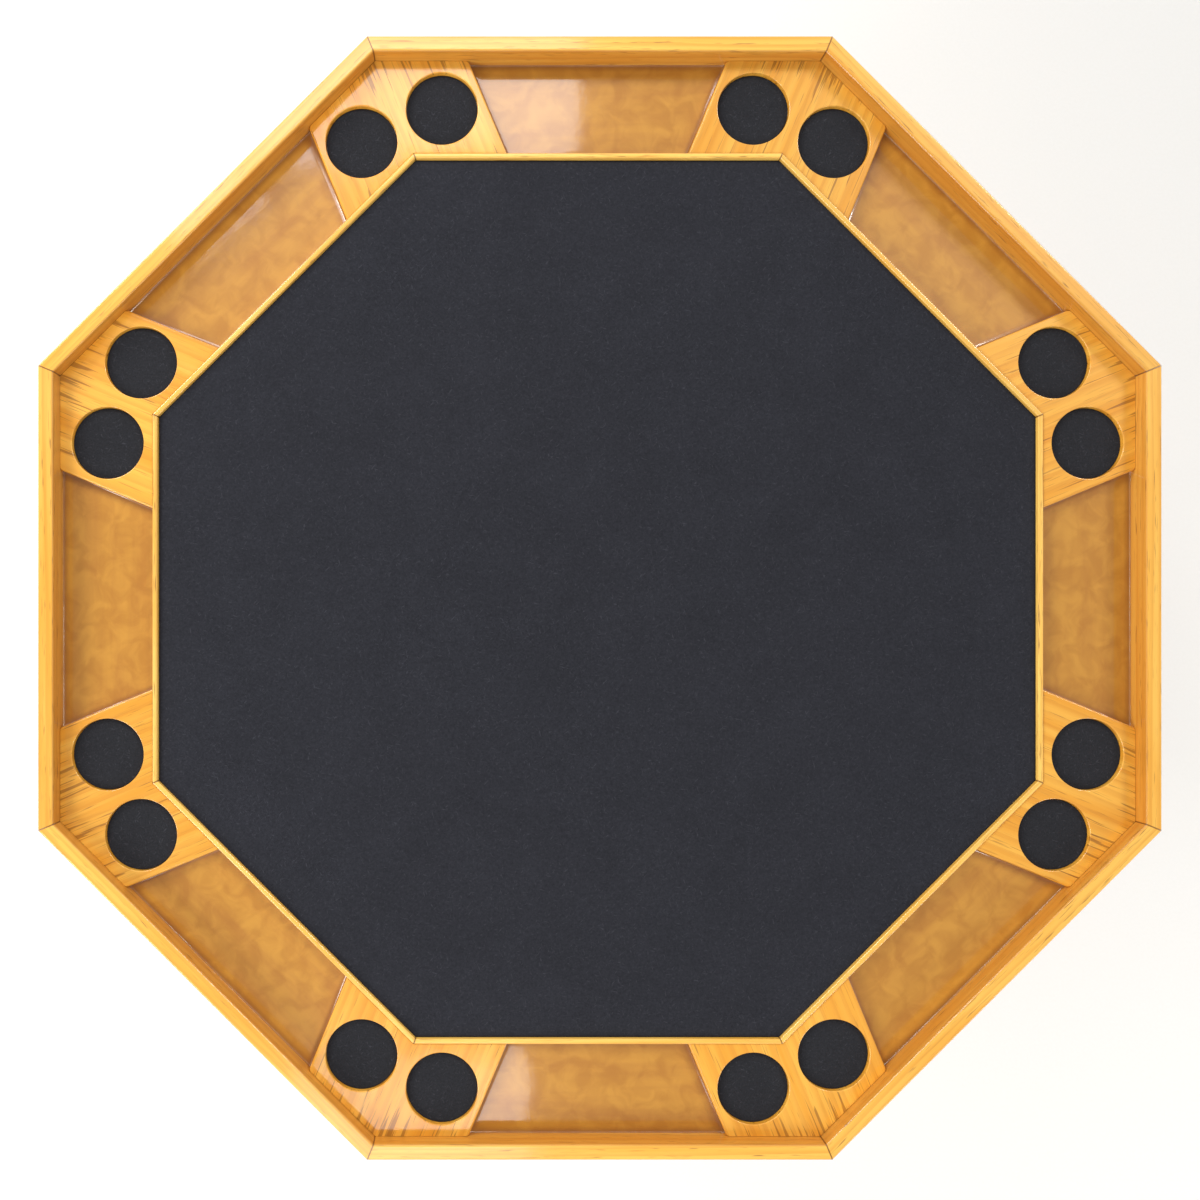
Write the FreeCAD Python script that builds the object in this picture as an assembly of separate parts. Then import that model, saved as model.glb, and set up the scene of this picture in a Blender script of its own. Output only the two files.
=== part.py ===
"""Octagonal bumper pool table with a loose top.

A bumper pool cabinet stands on a pedestal with four levelled feet. The octagonal top lies on its
rails: one face is the poker side, with a felt field, chip trays and cup wells, and the other is a
plain dining face. The top lifts straight off to uncover the bumper pool field.

Units are millimetres. The origin is on the floor under the table's centre, +Z is up, and side 0 of
every octagon faces +X.
"""

import FreeCAD
import Part
import math
import os

# Whole table
ACROSS_FLATS = 1372.0
TABLE_HEIGHT = 762.0
SIDES = 8
SIDE_ANGLE = 360.0 / SIDES
HALF_TURN = math.radians(SIDE_ANGLE / 2)
MITRE = math.tan(HALF_TURN)

# Poker and dining top
RIM_WIDTH = 19.0
RIM_ROUND = 2.5
DINING_THICK = 1.5
CORE_THICK = 18.0
BLOCK_THICK = 14.0
BLOCK_RECESS = 19.0
BLOCK_ROUND = 2.5
BLOCK_HALF_WIDTH = 107.5
TRAY_THICK = 3.0
TRIM_WIDTH = 6.5
TRIM_RECESS = 17.0
TRIM_ROUND = 2.0
FELT_APOTHEM = 545.5
FELT_THICK = 2.0
FELT_RECESS = 22.0
WELL_RADIUS = 44.5
WELL_DEPTH = 7.0
WELL_ROUND = 1.2
WELL_ALONG = 635.5
WELL_OFFSET = 54.0
WELL_FELT_RADIUS = 44.1
WELL_FELT_THICK = 1.5
PANEL_SCREW_ALONG = 690.0
PANEL_SCREW_OFFSET = 30.0
PANEL_SCREW_RADIUS = 2.2
PANEL_SCREW_HEAD_RADIUS = 4.2
PANEL_SCREW_LENGTH = 27.0

# Bumper pool cabinet
REST_PAD_THICK = 2.5
REST_PAD_RADIUS = 16.0
REST_PAD_OFFSET = 195.0
RAIL_HEIGHT = 42.0
RAIL_OUTER = 640.0
RAIL_INNER = 562.0
RAIL_ROUND = 7.0
CLOTH_THICK = 1.5
CLOTH_APOTHEM = 605.0
BED_THICK = 19.0
BED_APOTHEM = 609.0
APRON_OUTER = 630.0
APRON_THICK = 19.0
APRON_HEIGHT = 140.0
CUSHION_NOSE = 530.0
CUSHION_COVER = 1.2
CUSHION_BACK_LOW = 4.0
CUSHION_HEEL = (12.0, 8.0)
CUSHION_NOSE_HEIGHTS = (31.0, 33.5, 36.0)
CUSHION_NOSE_SETBACKS = (1.2, 0.0, 2.0)
CUSHION_BELOW_RAIL = 2.5
# On the slanted underside the cloth's thickness, measured upwards, is this many times more
CUSHION_SLANT = 1.4
GLUE_BLOCK_RUN = 42.0
GLUE_BLOCK_DEPTH = 60.0
GLUE_BLOCK_HEIGHT = 95.0
RAIL_BOLT_OFFSET = 105.0
RAIL_BOLT_RADIUS = 4.0
RAIL_BOLT_APOTHEM = 588.0
RAIL_BOLT_GRIP = 26.0

# Pockets and ball return
POCKET_ALONG = 482.0
POCKET_RADIUS = 40.0
POCKET_WALL = 3.0
POCKET_FLANGE = 7.0
POCKET_FLANGE_THICK = 1.5
POCKET_DROP = 19.0
BALL_TRAY_HALF = 60.0
BALL_TRAY_BOARD = 9.0
BALL_TRAY_BACK = 425.0
BALL_TRAY_FALL = 10.0
BALL_TRAY_SIDE = 66.0
RETURN_HALF = 58.0
RETURN_HEIGHT = 58.0
RETURN_ROUND = 12.0

# Bumpers
BUMPER_HEIGHT = 40.0
BUMPER_DOME = 4.0
BUMPER_BASE_RADIUS = 21.0
BUMPER_NECK_RADIUS = 14.0
BUMPER_CAP_RADIUS = 23.0
BUMPER_RING_RADIUS = 29.0
BUMPER_RING_LOW = 16.0
BUMPER_RING_HIGH = 33.0
BUMPER_RING_ROUND = 6.0
BUMPER_BOLT_RADIUS = 3.0
BUMPER_BOLT_HEAD = 4.0
BUMPER_INNER_STEP = 75.0
BUMPER_OUTER_STEP = 150.0
BUMPER_POCKET_SIDE = 78.0
BUMPER_POCKET_AHEAD = 4.0

# Frame and pedestal
BEARER_OFFSET = 185.0
BEARER_WIDTH = 40.0
BEARER_HEIGHT = 60.0
HEAD_APOTHEM = 215.0
HEAD_THICK = 18.0
COLUMN_APOTHEM = 200.0
COLUMN_BOARD = 18.0
COLUMN_BOTTOM = 40.0
FEET = 4
FOOT_TIP = 520.0
FOOT_WIDTH = 60.0
FOOT_BOTTOM = 22.0
FOOT_ROOT_HEIGHT = 165.0
# Points of the foot's side view: how far each is behind the tip, and its height
FOOT_TOE_HEIGHT = 46.0
FOOT_TOE_ROUND = (5.0, 57.0)
FOOT_BROW = (18.0, 62.0)
FOOT_SADDLE = (95.0, 70.0)
FOOT_SWEEP = (225.0, 108.0)
FRAME_BOLT_RADIUS = 4.0
FRAME_BOLT_HEAD = 8.0
BOLT_HEAD_THICK = 5.0
HEAD_BOLT_X = 173.0
HEAD_BOLT_Y = 60.0
HEAD_BOLT_GRIP = 35.0
FOOT_BOLT_HEIGHTS = (70.0, 130.0)
FOOT_BOLT_GRIP = 60.0

# Levellers
LEVELLER_ALONG = 485.0
PAD_RADIUS = 22.0
PAD_HEIGHT = 8.0
PAD_ROUND = 2.0
PAD_SOCKET_FLOOR = 4.0
STEM_RADIUS = 5.0
STEM_TOP = 44.0
STEM_HEX_ACROSS = 16.0
STEM_HEX_LOW = 8.5
STEM_HEX_HIGH = 14.5
RUNNING_GAP = 0.3
NUT_FLANGE_RADIUS = 13.0
NUT_FLANGE_THICK = 1.5
NUT_BARREL_RADIUS = 8.0
NUT_BARREL_HEIGHT = 12.0
STEM_HOLE_TOP = 55.0

# Levels worked out from the sizes above
RIM_TOP = TABLE_HEIGHT
BLOCK_TOP = RIM_TOP - BLOCK_RECESS
CORE_TOP = BLOCK_TOP - BLOCK_THICK
CORE_BOTTOM = CORE_TOP - CORE_THICK
TOP_BOTTOM = CORE_BOTTOM - DINING_THICK
FELT_TOP = RIM_TOP - FELT_RECESS
RAIL_TOP = TOP_BOTTOM - REST_PAD_THICK
RAIL_BOTTOM = RAIL_TOP - RAIL_HEIGHT
BED_TOP = RAIL_BOTTOM - CLOTH_THICK
BED_BOTTOM = BED_TOP - BED_THICK
APRON_BOTTOM = RAIL_BOTTOM - APRON_HEIGHT
BEARER_BOTTOM = BED_BOTTOM - BEARER_HEIGHT
HEAD_BOTTOM = BEARER_BOTTOM - HEAD_THICK

# Distances from the centre line, square to a side
RIM_OUTER = ACROSS_FLATS / 2
RIM_INNER = RIM_OUTER - RIM_WIDTH
TRIM_OUTER = FELT_APOTHEM + TRIM_WIDTH
BLOCK_SIDE = BLOCK_HALF_WIDTH / math.cos(HALF_TURN)
TRAY_HALF_INNER = TRIM_OUTER * MITRE - BLOCK_SIDE
TRAY_HALF_OUTER = RIM_INNER * MITRE - BLOCK_SIDE
APRON_INNER = APRON_OUTER - APRON_THICK

ORIGIN = FreeCAD.Vector(0, 0, 0)
UP = FreeCAD.Vector(0, 0, 1)


# Helpers


def turned(shape, degrees):
    """A copy of a shape, turned about the table's centre line."""
    copy = shape.copy()
    copy.rotate(ORIGIN, UP, degrees)
    return copy


def turned_point(x, y, degrees):
    """A plan point turned about the centre line."""
    angle = math.radians(degrees)
    return (
        x * math.cos(angle) - y * math.sin(angle),
        x * math.sin(angle) + y * math.cos(angle),
    )


def round_the_sides(shape, count=SIDES, first=0.0):
    """Equal copies of a shape, one to each side of the centre line."""
    return [turned(shape, first + i * 360.0 / count) for i in range(count)]


def prism(outline, low, high):
    """An upright prism on a plan outline."""
    points = [FreeCAD.Vector(x, y, low) for x, y in outline]
    face = Part.Face(Part.makePolygon(points + points[:1]))
    return face.extrude(FreeCAD.Vector(0, 0, high - low))


def octagon(apothem, low, high):
    """An upright octagonal prism, given as half its width across flats."""
    corners = [turned_point(apothem, apothem * MITRE, i * SIDE_ANGLE) for i in range(SIDES)]
    return prism(corners, low, high)


def mitred_board(inner, outer, low, high):
    """The board of an octagonal ring that lies on side 0, with mitred ends."""
    outline = [
        (inner, -inner * MITRE),
        (outer, -outer * MITRE),
        (outer, outer * MITRE),
        (inner, inner * MITRE),
    ]
    return prism(outline, low, high)


def section_face(edges):
    """A flat face bounded by edges drawn in the upright plane through +X."""
    return Part.Face(Part.Wire(edges))


def mitred_sweep(face, reach):
    """An upright section run along side 0 and cut to the octagon's mitres."""
    bar = face.extrude(FreeCAD.Vector(0, 2 * reach, 0))
    bar.translate(FreeCAD.Vector(0, -reach, 0))
    box = face.BoundBox
    wedge = prism([(0, 0), (reach * 2, -reach * 2 * MITRE), (reach * 2, reach * 2 * MITRE)],
                  box.ZMin - 1, box.ZMax + 1)
    return bar.common(wedge)


def cylinder(x, y, radius, low, high):
    """An upright cylinder."""
    return Part.makeCylinder(radius, high - low, FreeCAD.Vector(x, y, low))


def upright(r, z):
    """A point of the upright plane through +X."""
    return FreeCAD.Vector(r, 0, z)


def line(start, end):
    """A straight edge between two (r, z) points."""
    return Part.LineSegment(upright(*start), upright(*end)).toShape()


def arc(start, middle, end):
    """A circular edge through three (r, z) points."""
    return Part.Arc(upright(*start), upright(*middle), upright(*end)).toShape()


def polyline(points):
    """The edges of a closed outline through (r, z) points."""
    return [line(a, b) for a, b in zip(points, points[1:] + points[:1])]


def rounded(shape, radius, chosen):
    """A shape with the edges that a test picks rounded over."""
    return shape.makeFillet(radius, [e for e in shape.Edges if chosen(e)])


def along_side(edge, z=None, r=None):
    """True for a straight edge that runs along side 0, at a height or a distance if they are given."""
    box = edge.BoundBox
    straight = box.XLength < 0.01 and box.ZLength < 0.01 and box.YLength > 1
    at_height = z is None or abs(box.ZMin - z) < 0.01
    at_distance = r is None or abs(box.XMin - r) < 0.01
    return straight and at_height and at_distance


def is_circle(edge, radius, z):
    """True for a level circle of a given radius and height."""
    curve = edge.Curve
    level = abs(edge.BoundBox.ZLength) < 0.01 and abs(edge.BoundBox.ZMin - z) < 0.01
    return isinstance(curve, Part.Circle) and level and abs(curve.Radius - radius) < 0.01


def cut_all(shape, tools):
    """A shape with every tool cut out of it."""
    return shape.cut(Part.makeCompound(tools))


# Poker and dining top


def rim_rails():
    """Upright oak rails that frame the whole top, mitred at the corners."""
    board = mitred_board(RIM_INNER, RIM_OUTER, TOP_BOTTOM, RIM_TOP)

    def eased(edge):
        return along_side(edge, z=RIM_TOP) or along_side(edge, z=TOP_BOTTOM, r=RIM_OUTER)

    return round_the_sides(rounded(board, RIM_ROUND, eased))


def core_panel():
    """The board that carries everything on the poker side."""
    panel = octagon(RIM_INNER, CORE_BOTTOM, CORE_TOP)
    return cut_all(panel, panel_screws())


def dining_panel():
    """The veneered face under the core, which is the dining table when the top is turned over."""
    return octagon(RIM_INNER, TOP_BOTTOM, CORE_BOTTOM)


def well_centres():
    """Plan centres of the two cup wells in the block between sides 0 and 1."""
    return [turned_point(WELL_ALONG, side * WELL_OFFSET, SIDE_ANGLE / 2) for side in (-1, 1)]


def corner_outline():
    """Plan outline of the block that fills the corner between sides 0 and 1."""
    return [
        (RIM_INNER, TRAY_HALF_OUTER),
        (RIM_INNER, RIM_INNER * MITRE),
        turned_point(RIM_INNER, -TRAY_HALF_OUTER, SIDE_ANGLE),
        turned_point(TRIM_OUTER, -TRAY_HALF_INNER, SIDE_ANGLE),
        (TRIM_OUTER, TRIM_OUTER * MITRE),
        (TRIM_OUTER, TRAY_HALF_INNER),
    ]


def beside_tray(edge):
    """True for the two upper edges of a corner block that face a chip tray."""
    box = edge.BoundBox
    length = math.hypot(RIM_INNER - TRIM_OUTER, TRAY_HALF_OUTER - TRAY_HALF_INNER)
    return abs(box.ZMin - BLOCK_TOP) < 0.01 and box.ZLength < 0.01 and abs(edge.Length - length) < 0.01


def corner_blocks():
    """Veneered blocks at the corners, each with two shallow cup wells."""
    block = prism(corner_outline(), CORE_TOP, BLOCK_TOP)
    block = rounded(block, BLOCK_ROUND, beside_tray)
    wells = [cylinder(x, y, WELL_RADIUS, BLOCK_TOP - WELL_DEPTH, BLOCK_TOP + 1) for x, y in well_centres()]
    block = cut_all(block, wells)
    block = rounded(block, WELL_ROUND, lambda e: is_circle(e, WELL_RADIUS, BLOCK_TOP))
    block = cut_all(block, corner_screws())
    return round_the_sides(block)


def cup_felts():
    """Felt discs glued to the floors of the cup wells."""
    low = BLOCK_TOP - WELL_DEPTH
    pair = [cylinder(x, y, WELL_FELT_RADIUS, low, low + WELL_FELT_THICK) for x, y in well_centres()]
    return [disc for one in pair for disc in round_the_sides(one)]


def chip_trays():
    """Smooth lacquered floors of the chip trays between the corner blocks."""
    outline = [
        (TRIM_OUTER, -TRAY_HALF_INNER),
        (RIM_INNER, -TRAY_HALF_OUTER),
        (RIM_INNER, TRAY_HALF_OUTER),
        (TRIM_OUTER, TRAY_HALF_INNER),
    ]
    return round_the_sides(prism(outline, CORE_TOP, CORE_TOP + TRAY_THICK))


def felt_trim():
    """Thin oak strips on edge around the felt field, mitred at the corners."""
    top = RIM_TOP - TRIM_RECESS
    strip = mitred_board(FELT_APOTHEM, TRIM_OUTER, CORE_TOP, top)
    return round_the_sides(rounded(strip, TRIM_ROUND, lambda e: along_side(e, z=top)))


def corner_screws():
    """The screws that come up through the core into the block between sides 0 and 1."""
    screws = []
    for side in (-1, 1):
        x, y = turned_point(PANEL_SCREW_ALONG, side * PANEL_SCREW_OFFSET, SIDE_ANGLE / 2)
        shank = cylinder(x, y, PANEL_SCREW_RADIUS, CORE_BOTTOM, CORE_BOTTOM + PANEL_SCREW_LENGTH)
        head = Part.makeCone(PANEL_SCREW_HEAD_RADIUS, PANEL_SCREW_RADIUS, PANEL_SCREW_RADIUS,
                             FreeCAD.Vector(x, y, CORE_BOTTOM))
        screws.append(shank.fuse(head).removeSplitter())
    return screws


def panel_screws():
    """All the screws under the corner blocks."""
    return [screw for one in corner_screws() for screw in round_the_sides(one)]


def felt_board():
    """The raised board under the felt field."""
    return octagon(FELT_APOTHEM, CORE_TOP, FELT_TOP - FELT_THICK)


def poker_felt():
    """Thin foam and felt, stretched over the field."""
    return octagon(FELT_APOTHEM, FELT_TOP - FELT_THICK, FELT_TOP)


# Bumper pool cabinet


def pocket_holes(radius, low, high):
    """Upright cylinders at the two pockets, which lie on the Y axis."""
    return [cylinder(0, end * POCKET_ALONG, radius, low, high) for end in (-1, 1)]


def bumper_centres():
    """Plan centres of the bumpers: a cross in the middle, and a pair at each pocket."""
    cross = [(step, 0.0) for step in (BUMPER_INNER_STEP, BUMPER_OUTER_STEP)]
    centres = [turned_point(x, y, quarter * 90) for x, y in cross for quarter in range(4)]
    ahead = POCKET_ALONG - BUMPER_POCKET_AHEAD
    return centres + [(side * BUMPER_POCKET_SIDE, end * ahead) for side in (-1, 1) for end in (-1, 1)]


def rail_bolts():
    """Bolts that pull the rails down on to the bed."""
    low = BED_BOTTOM - BOLT_HEAD_THICK
    bolts = []
    for side in (-1, 1):
        y = side * RAIL_BOLT_OFFSET
        shank = cylinder(RAIL_BOLT_APOTHEM, y, RAIL_BOLT_RADIUS, BED_BOTTOM, RAIL_BOTTOM + RAIL_BOLT_GRIP)
        head = cylinder(RAIL_BOLT_APOTHEM, y, RAIL_BOLT_RADIUS * 2, low, BED_BOTTOM)
        bolts += round_the_sides(shank.fuse(head).removeSplitter())
    return bolts


def bumper_bolts():
    """Bolts that hold the bumper posts from under the bed."""
    bolts = []
    for x, y in bumper_centres():
        shank = cylinder(x, y, BUMPER_BOLT_RADIUS, BED_BOTTOM, RAIL_BOTTOM + BUMPER_HEIGHT / 2)
        head = cylinder(x, y, BUMPER_BOLT_RADIUS * 2, BED_BOTTOM - BUMPER_BOLT_HEAD, BED_BOTTOM)
        bolts.append(shank.fuse(head).removeSplitter())
    return bolts


def bed_board():
    """The playing bed, bored for the pockets and every bolt."""
    board = octagon(BED_APOTHEM, BED_BOTTOM, BED_TOP)
    pockets = pocket_holes(POCKET_RADIUS + POCKET_WALL, BED_BOTTOM - 1, BED_TOP + 1)
    return cut_all(board, pockets + rail_bolts() + bumper_bolts())


def bed_cloth():
    """The cloth on the bed, cut round the pockets and bolts."""
    cloth = octagon(CLOTH_APOTHEM, BED_TOP, RAIL_BOTTOM)
    pockets = pocket_holes(POCKET_RADIUS + POCKET_WALL, BED_TOP - 1, RAIL_BOTTOM + 1)
    return cut_all(cloth, pockets + rail_bolts() + bumper_bolts())


def cushion_rails():
    """Oak rails that carry the cushions and the loose top."""
    board = mitred_board(RAIL_INNER, RAIL_OUTER, RAIL_BOTTOM, RAIL_TOP)
    board = rounded(board, RAIL_ROUND, lambda e: along_side(e, RAIL_TOP, RAIL_OUTER))
    board = cut_all(board, rail_bolts())
    return round_the_sides(board)


def cushion_outline(inset):
    """Edges of the cushion's section, a given distance inside its outer surface."""
    lift = inset * CUSHION_SLANT
    heel_in, heel_up = CUSHION_HEEL
    low_z, tip_z, high_z = (RAIL_BOTTOM + height for height in CUSHION_NOSE_HEIGHTS)
    low_r, tip_r, high_r = (CUSHION_NOSE + setback + inset for setback in CUSHION_NOSE_SETBACKS)
    back_low = (RAIL_INNER, RAIL_BOTTOM + CUSHION_BACK_LOW + lift)
    heel = (RAIL_INNER - heel_in + inset / 2, RAIL_BOTTOM + heel_up + lift)
    nose_low, nose_tip, nose_high = (low_r, low_z), (tip_r, tip_z), (high_r, high_z - inset)
    back_high = (RAIL_INNER, RAIL_TOP - CUSHION_BELOW_RAIL - inset)
    edges = [line(back_low, heel), line(heel, nose_low), arc(nose_low, nose_tip, nose_high)]
    return edges + [line(nose_high, back_high)], back_high, back_low


def cushion_rubbers():
    """Triangular rubber cushions along the rails."""
    edges, back_high, back_low = cushion_outline(CUSHION_COVER)
    face = section_face(edges + [line(back_high, back_low)])
    return round_the_sides(mitred_sweep(face, RAIL_INNER))


def cushion_covers():
    """The cloth wrapped round each rubber, from the rail's face and back to it."""
    outer, high, low = cushion_outline(0.0)
    inner, inner_high, inner_low = cushion_outline(CUSHION_COVER)
    whole = mitred_sweep(section_face(outer + [line(high, low)]), RAIL_INNER)
    core = mitred_sweep(section_face(inner + [line(inner_high, inner_low)]), RAIL_INNER)
    return round_the_sides(whole.cut(core))


def apron_board():
    """The board of the apron on side 0."""
    return mitred_board(APRON_INNER, APRON_OUTER, APRON_BOTTOM, RAIL_BOTTOM)


def apron_panels():
    """The plain apron boards, on all sides but the two with a ball return."""
    return [turned(apron_board(), i * SIDE_ANGLE) for i in range(SIDES) if i % 4 != 2]


def return_panels():
    """The apron boards on the Y axis, each with a mouth to take the balls out."""
    floor = ball_tray_floor()
    mouth = Part.makeBox(APRON_THICK + 2, RETURN_HALF * 2, RETURN_HEIGHT,
                         FreeCAD.Vector(APRON_INNER - 1, -RETURN_HALF, floor))
    mouth = rounded(mouth, RETURN_ROUND, lambda e: e.BoundBox.XLength > APRON_THICK)
    board = apron_board().cut(mouth)
    return [turned(board, quarter) for quarter in (90, 270)]


def glue_blocks():
    """Kite-shaped blocks glued into the corners of the apron."""
    run = APRON_INNER * MITRE - GLUE_BLOCK_RUN
    inner = APRON_INNER / math.cos(HALF_TURN) - GLUE_BLOCK_DEPTH
    outline = [
        (APRON_INNER, APRON_INNER * MITRE),
        turned_point(APRON_INNER, -run, SIDE_ANGLE),
        turned_point(inner, 0, SIDE_ANGLE / 2),
        (APRON_INNER, run),
    ]
    return round_the_sides(prism(outline, BED_BOTTOM - GLUE_BLOCK_HEIGHT, BED_BOTTOM))


def rest_pads():
    """Felt pads on the rails, where the loose top lies."""
    middle = (RAIL_INNER + RAIL_OUTER) / 2
    pair = [
        cylinder(middle, side * REST_PAD_OFFSET, REST_PAD_RADIUS, RAIL_TOP, TOP_BOTTOM)
        for side in (-1, 1)
    ]
    return [pad for one in pair for pad in round_the_sides(one)]


# Pockets and ball return


def pocket_liners():
    """Flanged plastic tubes that line the pockets."""
    flange_radius = POCKET_RADIUS + POCKET_WALL + POCKET_FLANGE
    tube_bottom = BED_BOTTOM - POCKET_DROP
    top = RAIL_BOTTOM + POCKET_FLANGE_THICK
    liners = []
    for end in (-1, 1):
        y = end * POCKET_ALONG
        flange = cylinder(0, y, flange_radius, RAIL_BOTTOM, top)
        tube = cylinder(0, y, POCKET_RADIUS + POCKET_WALL, tube_bottom, top)
        bore = cylinder(0, y, POCKET_RADIUS, tube_bottom - 1, top + 1)
        liners.append(flange.fuse(tube).cut(bore).removeSplitter())
    return liners


def ball_tray_floor():
    """Height of the ball tray's floor where it meets the apron."""
    return BED_BOTTOM - POCKET_DROP - BALL_TRAY_SIDE + BALL_TRAY_FALL


def ball_trays():
    """Plywood troughs under the pockets, each a floor that falls outwards, two sides and a back."""
    high = BED_BOTTOM
    low = ball_tray_floor()
    outer_half = BALL_TRAY_HALF + BALL_TRAY_BOARD
    rise = low + BALL_TRAY_FALL
    floor_edges = polyline([
        (BALL_TRAY_BACK, rise), (APRON_INNER, low),
        (APRON_INNER, low - BALL_TRAY_BOARD), (BALL_TRAY_BACK, rise - BALL_TRAY_BOARD),
    ])
    floor = section_face(floor_edges).extrude(FreeCAD.Vector(0, 2 * BALL_TRAY_HALF, 0))
    floor.translate(FreeCAD.Vector(0, -BALL_TRAY_HALF, 0))
    bottom = low - BALL_TRAY_BOARD
    run = APRON_INNER - BALL_TRAY_BACK
    boards = [floor]
    for y in (-outer_half, BALL_TRAY_HALF):
        corner = FreeCAD.Vector(BALL_TRAY_BACK, y, bottom)
        boards.append(Part.makeBox(run, BALL_TRAY_BOARD, high - bottom, corner))
    back = Part.makeBox(BALL_TRAY_BOARD, outer_half * 2, high - bottom,
                        FreeCAD.Vector(BALL_TRAY_BACK - BALL_TRAY_BOARD, -outer_half, bottom))
    boards.append(back)
    return [turned(board, quarter) for quarter in (90, 270) for board in boards]


# Bumpers


def bumper_post():
    """A turned plastic post with a waist for its ring, standing at the origin."""
    low = BUMPER_RING_LOW
    high = BUMPER_RING_HIGH
    cap_edge = BUMPER_HEIGHT - BUMPER_DOME
    dome_radius = (BUMPER_CAP_RADIUS ** 2 + BUMPER_DOME ** 2) / (2 * BUMPER_DOME)
    half = math.asin(BUMPER_CAP_RADIUS / dome_radius) / 2
    shoulder = (dome_radius * math.sin(half), BUMPER_HEIGHT - dome_radius * (1 - math.cos(half)))
    edges = [
        line((0, 0), (BUMPER_BASE_RADIUS, 0)),
        line((BUMPER_BASE_RADIUS, 0), (BUMPER_BASE_RADIUS, low)),
        line((BUMPER_BASE_RADIUS, low), (BUMPER_NECK_RADIUS, low)),
        line((BUMPER_NECK_RADIUS, low), (BUMPER_NECK_RADIUS, high)),
        line((BUMPER_NECK_RADIUS, high), (BUMPER_CAP_RADIUS, high)),
        line((BUMPER_CAP_RADIUS, high), (BUMPER_CAP_RADIUS, cap_edge)),
        arc((BUMPER_CAP_RADIUS, cap_edge), shoulder, (0, BUMPER_HEIGHT)),
        line((0, BUMPER_HEIGHT), (0, 0)),
    ]
    return section_face(edges).revolve(ORIGIN, UP, 360)


def bumper_posts():
    """All the bumper posts, bored for their bolts."""
    post = bumper_post()
    posts = []
    for x, y in bumper_centres():
        one = post.copy()
        one.translate(FreeCAD.Vector(x, y, RAIL_BOTTOM))
        posts.append(one)
    bolts = bumper_bolts()
    return [one.cut(bolt) for one, bolt in zip(posts, bolts)]


def bumper_rings():
    """Rubber rings round the waists of the posts."""
    ring = Part.makeCylinder(BUMPER_RING_RADIUS, BUMPER_RING_HIGH - BUMPER_RING_LOW,
                             FreeCAD.Vector(0, 0, BUMPER_RING_LOW))
    ring = ring.makeFillet(BUMPER_RING_ROUND, [e for e in ring.Edges if isinstance(e.Curve, Part.Circle)])
    ring = ring.cut(Part.makeCylinder(BUMPER_NECK_RADIUS, BUMPER_HEIGHT))
    rings = []
    for x, y in bumper_centres():
        one = ring.copy()
        one.translate(FreeCAD.Vector(x, y, RAIL_BOTTOM))
        rings.append(one)
    return rings


# Frame and pedestal


def bed_bearers():
    """Timber bearers between the bed and the pedestal."""
    half = BEARER_WIDTH / 2
    near = BEARER_OFFSET - half
    far = BEARER_OFFSET + half

    def bearer(x_low, x_high, y_low, y_high):
        return Part.makeBox(x_high - x_low, y_high - y_low, BEARER_HEIGHT,
                            FreeCAD.Vector(x_low, y_low, BEARER_BOTTOM))

    bearers = []
    for side in (-1, 1):
        middle = side * BEARER_OFFSET
        bearers.append(bearer(middle - half, middle + half, -APRON_INNER, APRON_INNER))
        bearers.append(bearer(-near, near, middle - half, middle + half))
        bearers.append(bearer(far, APRON_INNER, middle - half, middle + half))
        bearers.append(bearer(-APRON_INNER, -far, middle - half, middle + half))
    bolts = frame_bolts()
    return [one.cut(Part.makeCompound(bolts)) for one in bearers]


def pedestal_head():
    """The plate that joins the pedestal to the bearers."""
    return cut_all(octagon(HEAD_APOTHEM, HEAD_BOTTOM, BEARER_BOTTOM), frame_bolts())


def pedestal_panels():
    """Oak boards that form the octagonal column."""
    board = mitred_board(COLUMN_APOTHEM - COLUMN_BOARD, COLUMN_APOTHEM, COLUMN_BOTTOM, HEAD_BOTTOM)
    return [one.cut(Part.makeCompound(frame_bolts())) for one in round_the_sides(board)]


def foot_profile():
    """The side view of a foot on the +X side: flat below, with a swept upper edge and a round tip."""
    tip_low = (FOOT_TIP, FOOT_BOTTOM)
    tip_high = (FOOT_TIP, FOOT_TOE_HEIGHT)
    tip_round, brow, saddle, sweep = (
        (FOOT_TIP - behind, height) for behind, height in (FOOT_TOE_ROUND, FOOT_BROW, FOOT_SADDLE, FOOT_SWEEP)
    )
    root = (COLUMN_APOTHEM, FOOT_ROOT_HEIGHT)
    heel = (COLUMN_APOTHEM, FOOT_BOTTOM)
    return section_face([
        line(heel, tip_low),
        line(tip_low, tip_high),
        arc(tip_high, tip_round, brow),
        line(brow, saddle),
        arc(saddle, sweep, root),
        line(root, heel),
    ])


def pedestal_feet():
    """Swept feet bolted to four faces of the column, bored for the levellers."""
    foot = foot_profile().extrude(FreeCAD.Vector(0, FOOT_WIDTH, 0))
    foot.translate(FreeCAD.Vector(0, -FOOT_WIDTH / 2, 0))
    seat = cylinder(LEVELLER_ALONG, 0, NUT_BARREL_RADIUS, FOOT_BOTTOM - 1, FOOT_BOTTOM + NUT_BARREL_HEIGHT)
    hole = cylinder(LEVELLER_ALONG, 0, STEM_RADIUS + 2 * RUNNING_GAP, FOOT_BOTTOM - 1, STEM_HOLE_TOP)
    foot = cut_all(foot, [seat, hole])
    feet = round_the_sides(foot, FEET, SIDE_ANGLE)
    return [one.cut(Part.makeCompound(frame_bolts())) for one in feet]


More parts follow.
